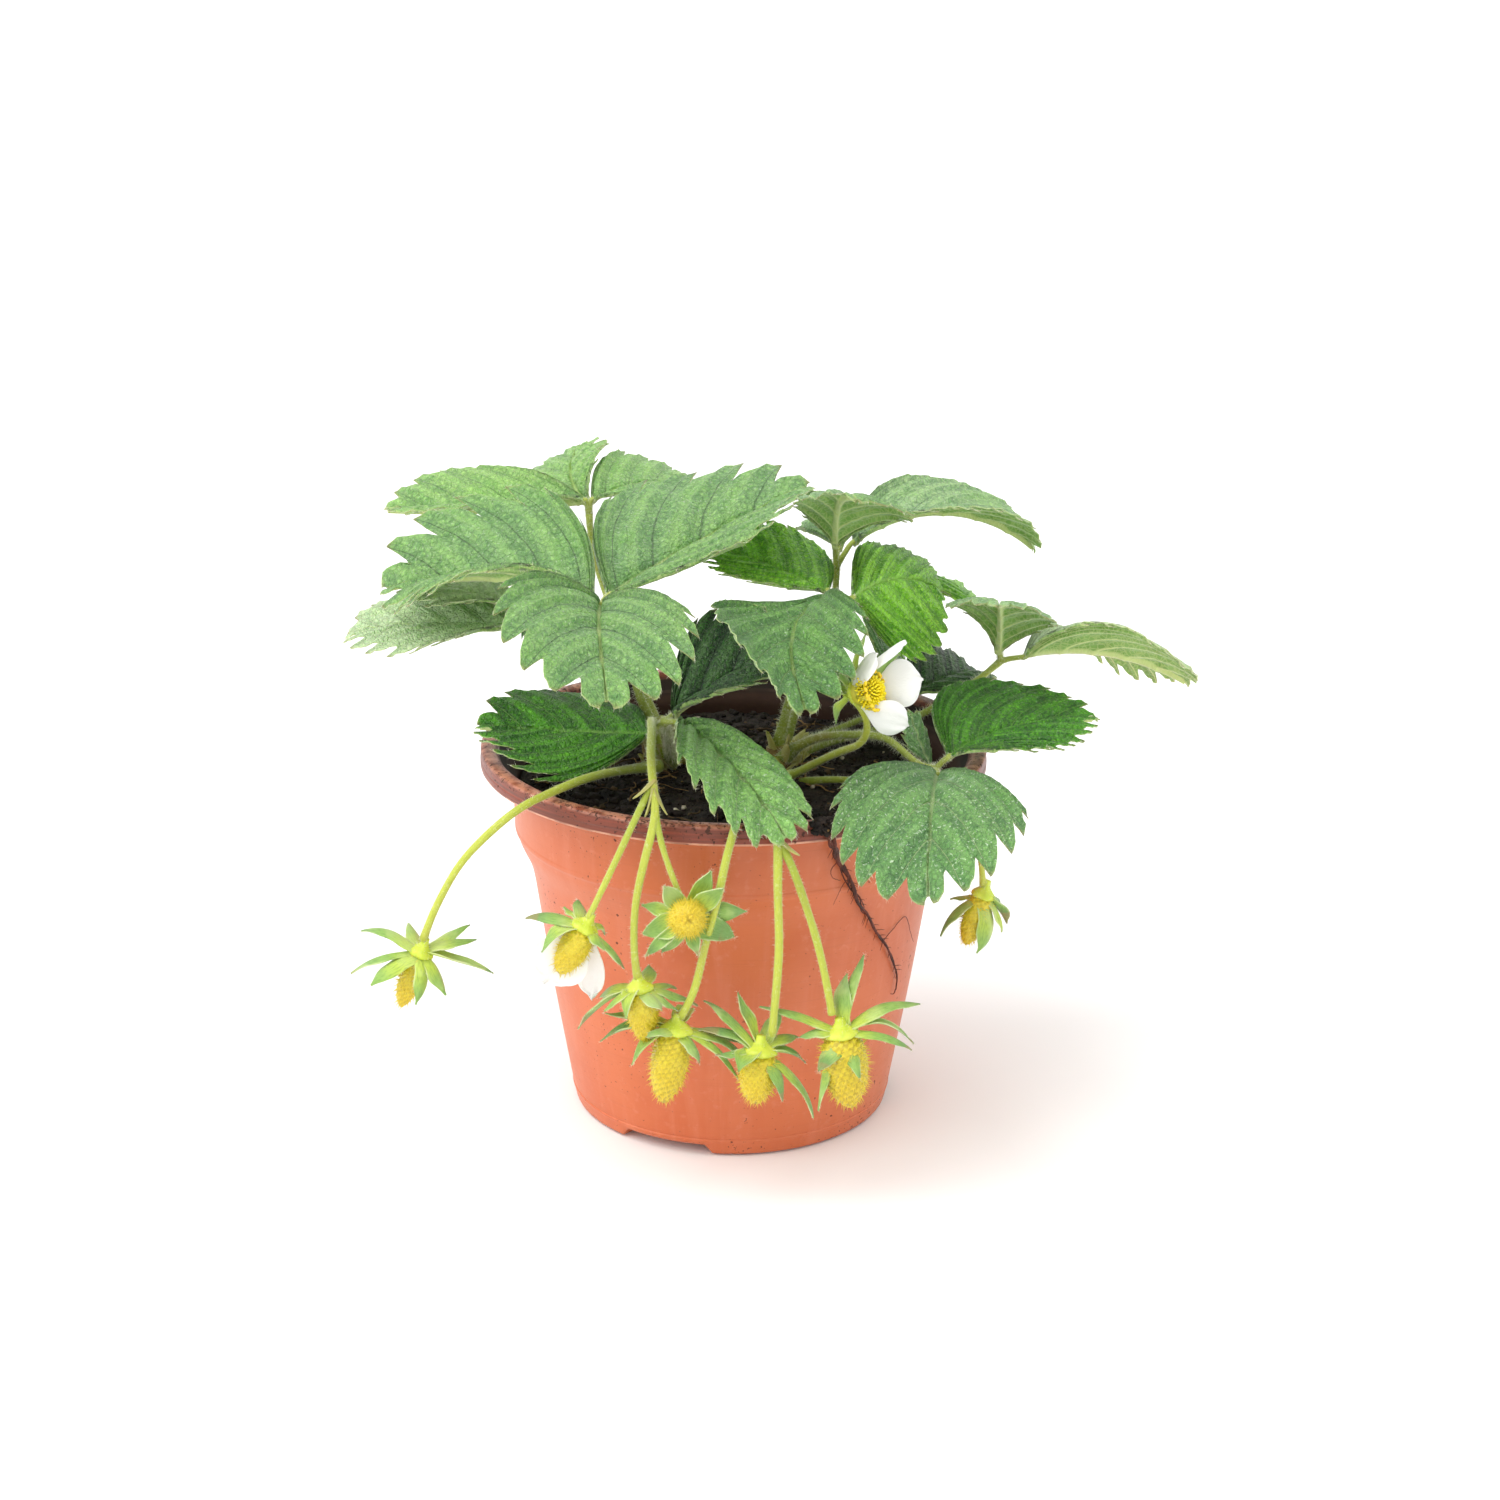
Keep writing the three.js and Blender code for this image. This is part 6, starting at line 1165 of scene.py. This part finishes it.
def make_pot():
    bd = Build()
    outer = [(8.6, 0, .3), (9.6, 2.6, .4), (33.4, 2.6, .5), (34.5, 0, .4), (38.0, 0, .7), (38.75, 3.2, .2), (38.98, 3.75, .2), (38.7, 4.1, .15), (38.95, 4.6, .3),
             (43.4, 30, 8), (47.6, 58, 3), (48.5, 62, 2), (51.0, 67.2, 1.8), (51.65, 69.3, .8), (52.1, 70, .3), (52.12, 70.8, .2), (52.0, 71.1, .2), (52.55, 82.4, 1.5), (54.5, 86.4, 1.2), (57.0, 88.8, .6),
             (59.0, 88.8, .25), (59.0, 85.7, .15), (59.35, 85.55, .15), (60.0, 85.9, .2), (60.0, 87.4, .3), (59.86, 87.6, .2), (59.9, 90.0, .7), (58.6, 90.3, .5), (56.6, 90.2, .7), (54.7, 87.3, .8), (51.6, 83.2, 1.2), (51.1, 70, .6), (46.6, 58, 2), (37.5, 4.2, .6), (36.6, 3.8, .5)]
    P = fillet(outer, .3, 4)
    # centre pad and floor close the profile on the axis
    P = np.vstack([[.02, 0.0], P, [.02, 3.8]])
    # points along the long walls, so that they bend smoothly
    Q = [P[0]]
    for a, b in zip(P[:-1], P[1:]):
        k = max(1, int(np.linalg.norm(b - a) / 3.2))
        for t in range(1, k + 1):
            Q.append(a + (b - a) * t / k)
    P = np.array(Q)

    def shape(V, a):
        r = np.hypot(V[..., 0], V[..., 1]); z = V[..., 2].copy()
        for c in NOTCHES:
            d = np.abs((a - c + np.pi) % (2 * np.pi) - np.pi) * 37.0
            k = np.clip((11.6 - d) / 1.6, 0, 1)
            low = (z < 2.3) & (r > 34.0)
            z = np.where(low, z + (2.3 + .25 * (z / 2.3) - z) * k[None], z)
        # a moulded pot is never quite true
        w = .16 * np.sin(2 * a + .6) + .08 * np.sin(3 * a + 2)
        f = 1 + (w[None] * np.clip((z - 6) / 80, 0, 1)) / np.maximum(r, 20)
        V[..., 0] *= f; V[..., 1] *= f; V[..., 2] = z
        return V
    rim = int(np.argmax(P[:, 1]))
    inside = (np.arange(len(P)) > rim) & (P[:, 1] < 89.4) & (np.arange(len(P)) > rim + 1)
    lathe(bd, P, 240, 0, tone=np.repeat(np.where(inside, 1.0, .5), 240), shape=shape)
    o = bd.make("pot_shell", [POTM], ["pot"])
    # drain holes
    cut = bpy.data.meshes.new("cutter")
    V = []; F = []
    for k in range(6):
        a = math.radians(30 + 60 * k); o0 = len(V)
        for z in (-1.0, 6.0):
            for j in range(28):
                b = 2 * math.pi * j / 28
                V.append(((22 * math.cos(a) + 3.5 * math.cos(b)) * MM, (22 * math.sin(a) + 3.5 * math.sin(b)) * MM, z * MM))
        for j in range(28):
            q = (j + 1) % 28
            F.append((o0 + j, o0 + q, o0 + 28 + q, o0 + 28 + j))
        F.append(tuple(o0 + j for j in range(28))[::-1]); F.append(tuple(o0 + 28 + j for j in range(28)))
    cut.from_pydata(V, [], F)
    co = bpy.data.objects.new("cutter", cut)
    bpy.context.scene.collection.objects.link(co)
    md = o.modifiers.new("holes", 'BOOLEAN'); md.object = co; md.operation = 'DIFFERENCE'; md.solver = 'EXACT'
    dg = bpy.context.evaluated_depsgraph_get()
    me = bpy.data.meshes.new_from_object(o.evaluated_get(dg), preserve_all_data_layers=True, depsgraph=dg)
    o.modifiers.remove(md)
    old = o.data; o.data = me; bpy.data.meshes.remove(old)
    bpy.data.objects.remove(co); bpy.data.meshes.remove(cut)
    sharp_by_angle(o, 38)
    return o


def sharp_by_angle(o, deg):
    me = o.data
    for p in me.polygons:
        p.use_smooth = True
    me.set_sharp_from_angle(angle=math.radians(deg))


# ------------------------------------------------------------------ soil
def fbm(x, y, seed, oct=4, f=.12, g=.55):
    rng = np.random.default_rng(seed)
    out = 0 * x; a = 1.0
    for k in range(oct):
        for _ in range(4):
            th = rng.random() * 6.28; ph = rng.random() * 6.28
            out = out + a * .35 * np.sin(f * 2 * np.pi * (x * np.cos(th) + y * np.sin(th)) + ph)
        f *= 2.1; a *= g
    return out


def soil_z(x, y):
    r = np.hypot(x, y)
    base = np.interp(r, [0, 10, 30, 50.9], [84, 83.5, 82, 80.5])
    return base + .55 * fbm(x, y, 5, 4, .05, .6) * np.clip((51.5 - r) / 6 + .35, 0, 1)


ICO = None


def lump_table():
    t = (1 + 5 ** .5) / 2
    v = unit(np.array([(-1, t, 0), (1, t, 0), (-1, -t, 0), (1, -t, 0), (0, -1, t), (0, 1, t), (0, -1, -t), (0, 1, -t), (t, 0, -1), (t, 0, 1), (-t, 0, -1), (-t, 0, 1)], float))
    f = [(0, 11, 5), (0, 5, 1), (0, 1, 7), (0, 7, 10), (0, 10, 11), (1, 5, 9), (5, 11, 4), (11, 10, 2), (10, 7, 6), (7, 1, 8), (3, 9, 4), (3, 4, 2), (3, 2, 6), (3, 6, 8), (3, 8, 9), (4, 9, 5), (2, 4, 11), (6, 2, 10), (8, 6, 7), (9, 8, 1)]
    return v, np.array(f)


def lumps(bd, C, size, rng, mat, tone, flat=.7):
    v, f = lump_table()
    k = len(C)
    s = size[:, None, None] * (1 + rng.normal(0, .22, (k, 12, 1))) * np.array([1, .85, flat])
    a = rng.random(k) * 6.28
    R = np.zeros((k, 3, 3)); R[:, 0, 0] = np.cos(a); R[:, 0, 1] = -np.sin(a); R[:, 1, 0] = np.sin(a); R[:, 1, 1] = np.cos(a); R[:, 2, 2] = 1
    V = np.einsum('kij,kvj->kvi', R, v[None] * s) + C[:, None]
    F = (f[None] + (np.arange(k) * 12)[:, None, None]).reshape(-1, 3)
    bd.add(V.reshape(-1, 3), F.tolist(), mat, tone=np.repeat(tone, 12))


def make_soil():
    rng = np.random.default_rng(41)
    bd = Build()
    seg, nr = 190, 72
    a = np.arange(seg) * 2 * np.pi / seg
    r = np.linspace(.3, 50.75, nr)
    X = r[:, None] * np.cos(a); Y = r[:, None] * np.sin(a)
    Z = soil_z(X, Y) + .28 * fbm(X, Y, 9, 4, .35, .7)
    top = np.stack([X, Y, Z], -1)
    side = []
    for rr_, zz in ((50.6, 79.0), (50.6, 70), (46.15, 58), (37.15, 4.25), (.3, 4.25)):
        side.append(np.stack([rr_ * np.cos(a), rr_ * np.sin(a), np.full(seg, zz)], -1))
    V = np.concatenate([top, np.array(side)])
    n = len(V)
    F = [(i * seg + j, (i + 1) * seg + j, (i + 1) * seg + (j + 1) % seg, i * seg + (j + 1) % seg) for i in range(n - 1) for j in range(seg)]
    F.append(tuple(range(seg))); F.append(tuple((n - 1) * seg + j for j in range(seg))[::-1])
    bd.add(V.reshape(-1, 3), F, 0, tone=.5)
    # crumbs
    k = 2100
    th = rng.random(k) * 6.28; rad_ = 50.3 * np.sqrt(rng.random(k))
    sz = .35 + .9 * rng.random(k) ** 3
    rad_ = np.minimum(rad_, 50.2 - sz)
    C = np.stack([rad_ * np.cos(th), rad_ * np.sin(th), np.zeros(k)], 1)
    C[:, 2] = soil_z(C[:, 0], C[:, 1]) + .28 * fbm(C[:, 0], C[:, 1], 9, 4, .35, .7) + sz * .15
    tn = np.clip(rng.normal(.42, .16, k), 0, .85)
    lumps(bd, C, sz, rng, 0, tn)
    k = 46
    th = rng.random(k) * 6.28; rad_ = 48.5 * np.sqrt(rng.random(k)); sz = .35 + .55 * rng.random(k)
    C = np.stack([rad_ * np.cos(th), rad_ * np.sin(th), np.zeros(k)], 1); C[:, 2] = soil_z(C[:, 0], C[:, 1]) + sz * .5
    lumps(bd, C, sz, rng, 1, np.full(k, .5))
    # larger clods toward the edge
    k = 90
    th = rng.random(k) * 6.28; rad_ = 30 + 17.5 * rng.random(k); sz = 1.0 + 1.1 * rng.random(k)
    C = np.stack([rad_ * np.cos(th), rad_ * np.sin(th), np.zeros(k)], 1); C[:, 2] = soil_z(C[:, 0], C[:, 1]) + sz * .1
    lumps(bd, C, sz, rng, 0, np.clip(rng.normal(.4, .1, k), 0, .6), .6)
    # fibres
    for q in range(150):
        th = rng.random() * 6.28; rr_ = 46 * math.sqrt(rng.random()); L = 3 + 7 * rng.random(); d = rng.random() * 6.28
        m = 7
        s = np.linspace(-.5, .5, m)
        x = rr_ * math.cos(th) + L * s * math.cos(d) + .8 * np.sin(s * 5) * math.sin(d); y = rr_ * math.sin(th) + L * s * math.sin(d) - .8 * np.sin(s * 5) * math.cos(d)
        f = np.minimum(1, 49.6 / np.maximum(np.hypot(x, y), 1)); x = x * f; y = y * f
        Q = np.stack([x, y, soil_z(x, y) + .45 + .5 * np.abs(np.sin(s * 4 + q))], 1)
        tube(bd, Q, .10 + .14 * rng.random(), 5, 0, tone=float(rng.choice([.3, .75, .95])))
    return bd.make("soil_surface", [SOILM, CRUMB], ["soil"])


# ------------------------------------------------------------------ crown
CROWN = [((-16.5, 5.5, 86), (5.6, 5.4, 8.5)), ((-17.5, 1, 83.5), (4.4, 4.2, 4.5)), ((-2, 5.5, 83.6), (15, 3.8, 3.2)), ((12, 4, 84), (5.2, 5, 5.5)), ((9, -1.5, 83.5), (5, 4.2, 3.4))]


def make_crown():
    rng = np.random.default_rng(7)
    bd = Build()
    for k, (c, h) in enumerate(CROWN):
        nu, nv = 30, 22
        a = np.arange(nu) * 2 * np.pi / nu; p = np.linspace(.03, np.pi - .03, nv)
        d = np.stack([np.sin(p)[:, None] * np.cos(a), np.sin(p)[:, None] * np.sin(a), np.cos(p)[:, None] * np.ones(nu)], -1)
        w = 1 - .10 * np.abs(np.sin(3.5 * a + 3 * p[:, None] + k)) - .04 * np.sin(9 * a + 5 * p[:, None])
        V = np.array(c) + d * np.array(h) * .97 * w[..., None]
        F = [(i * nu + j, (i + 1) * nu + j, (i + 1) * nu + (j + 1) % nu, i * nu + (j + 1) % nu) for i in range(nv - 1) for j in range(nu)]
        F.append(tuple(range(nu))); F.append(tuple((nv - 1) * nu + j for j in range(nu))[::-1])
        bd.add(V.reshape(-1, 3), F, 0, tone=np.repeat(np.clip(1 - p / 2.2, 0, 1), nu))
    # old scales and leaf bases wrapped round the crown
    for q in range(34):
        c, h = CROWN[[0, 0, 1, 3, 4][q % 5]]
        a = rng.random() * 6.28
        o = np.array([math.cos(a), math.sin(a), 0]); hz = h[2] * (.2 + .5 * rng.random())
        foot = np.array(c) + o * np.array(h) * .86 + [0, 0, -.5]
        tip = np.array(c) + o * np.array(h) * (1.0 + .18 * rng.random()) + [0, 0, hz]
        scale_leaf(bd, foot, tip, o, 3.2 + 1.5 * rng.random(), rng, 1)
    return bd.make("crown_base", [CROWNM, SCALE], ["crown"])


# ------------------------------------------------------------------ root and crumbs over the rim
def make_root():
    rng = np.random.default_rng(23)
    bd = Build()
    R0 = spline(ROOT, 90)
    s = np.linspace(0, 1, 90)
    out = unit(R0 * [1, 1, 0])
    side = unit(np.cross(unit(np.gradient(R0, axis=0)), out))
    for k, (amp, fr, ph, r0, r1, e) in enumerate([(.5, 5.0, 0, .56, .17, 1.0), (.62, 4.2, 2.6, .5, .13, .92), (.8, 7.1, 4.1, .3, .1, .66), (1.0, 3.3, 1.2, .26, .09, .52)]):
        n = int(90 * e)
        ss = s[:n]
        Q = R0[:n] + side[:n] * (amp * (1 - .6 * ss) * np.sin(fr * 2 * np.pi * ss + ph))[:, None] + out[:n] * (.22 * np.cos(fr * 2 * np.pi * ss + ph) * (1 - .5 * ss))[:, None]
        Q = Q + rng.normal(0, .03, Q.shape)
        tube(bd, Q, r0 + (r1 - r0) * ss / e, 7, 0)
    # hook at the end and side rootlets
    p = R0[-1]
    tube(bd, spline([p, p + [-.5, -.1, -1.2], p + [-1.5, -.3, -1.0]], 10), np.linspace(.16, .06, 10), 6, 0)
    for (P, r) in SIDE_ROOTS:
        P = np.array(P, float)
        tube(bd, spline(P, 24) + rng.normal(0, .04, (24, 3)), np.linspace(r, r * .45, 24), 6, 0)
    for q in range(46):
        i = rng.integers(3, 84)
        L = .8 + 1.8 * rng.random()
        d = unit(side[i] * rng.choice([-1, 1]) + [0, 0, -.7] + out[i] * .12)
        tube(bd, spline([R0[i], R0[i] + d * L * .5 + out[i] * .1, R0[i] + d * L + [0, 0, -.3]], 7), np.linspace(.09, .04, 7), 5, 0)
    # crumbs of peat lodged on the rim round the root
    c = np.array(CLUMP[0]); h = CLUMP[1]
    k = 120
    o = rng.normal(0, 1, (k, 3)); o = unit(o) * (rng.random(k) ** .4)[:, None] * np.array([h * .82, h * .5, h * .5])
    P = c + o
    rr = np.hypot(P[:, 0], P[:, 1])
    lumps(bd, P, .35 + .55 * rng.random(k), rng, 1, np.clip(rng.normal(.35, .14, k), 0, .7), .8)
    lumps(bd, np.array([c + [-1.6, -.9, .7], c + [.3, -1.4, -.5], c + [2.0, -.6, .8]]), np.array([.75, .55, .5]), rng, 1, np.array([1.0, .95, .8]), .6)
    return bd.make("root_over_rim", [ROOTM, SOILM], ["hanging_root"])


# ------------------------------------------------------------------ build everything
make_pot(); make_soil(); make_crown(); make_root()
for k, (name, key, p, base) in enumerate(LEAFLETS):
    o = LOOK.get(key, {})
    leaflet(name, p, np.array(base, float), [TOPS[o.get('grp', 'mid')], UNDER, HAIR], 100 + k, **o)
for k, row in enumerate(PETIOLES):
    leaf_stem(row, 300 + k)
for k, row in enumerate(STALKS):
    stalk(row, 400 + k)
for k, row in enumerate(FRUITS):
    fruit(row, 500 + k)
for k, row in enumerate(PETALS):
    petal(row[0], [row[1:]], [row[0]], 600 + k)
petal("fruit_2_petals", FRUIT_PETALS, ["fruit_2_petals"], 640)
flower_head(700)

# ------------------------------------------------------------------ floor and light
fl = Mat("pale_floor")
fl.set(color=fl.mix(fl.noise(3.0, 2.0), (.93, .93, .93, 1), (.96, .96, .96, 1)), rough=.8, spec=.1)
me = bpy.data.meshes.new("floor")
S = 9.0
me.from_pydata([(-S, -S, -.0004), (S, -S, -.0004), (S, S, -.0004), (-S, S, -.0004)], [], [(0, 1, 2, 3)])
me.materials.append(fl.m)
floor = bpy.data.objects.new("floor", me)
bpy.context.scene.collection.objects.link(floor)

w = bpy.data.worlds.new("studio")
bpy.context.scene.world = w
w.use_nodes = True
w.node_tree.nodes["Background"].inputs[0].default_value = (1.0, 1.0, 1.0, 1.0)
w.node_tree.nodes["Background"].inputs[1].default_value = 1.16


def sun(name, direction, strength, angle, color=(1, 1, 1)):
    l = bpy.data.lights.new(name, 'SUN')
    l.energy = strength; l.angle = math.radians(angle); l.color = color
    o = bpy.data.objects.new(name, l)
    bpy.context.scene.collection.objects.link(o)
    o.location = (direction[0], direction[1], direction[2])
    o.rotation_euler = Vector([-x for x in direction]).to_track_quat('-Z', 'Y').to_euler()
    return o


sun("overhead", (-.45, -.30, 1.0), 1.5, 44, (1.0, .99, .97))
sun("side", (-1.0, -.25, .45), .62, 40)
bpy.context.scene.view_settings.view_transform = 'Standard'
bpy.context.scene.view_settings.look = 'None'
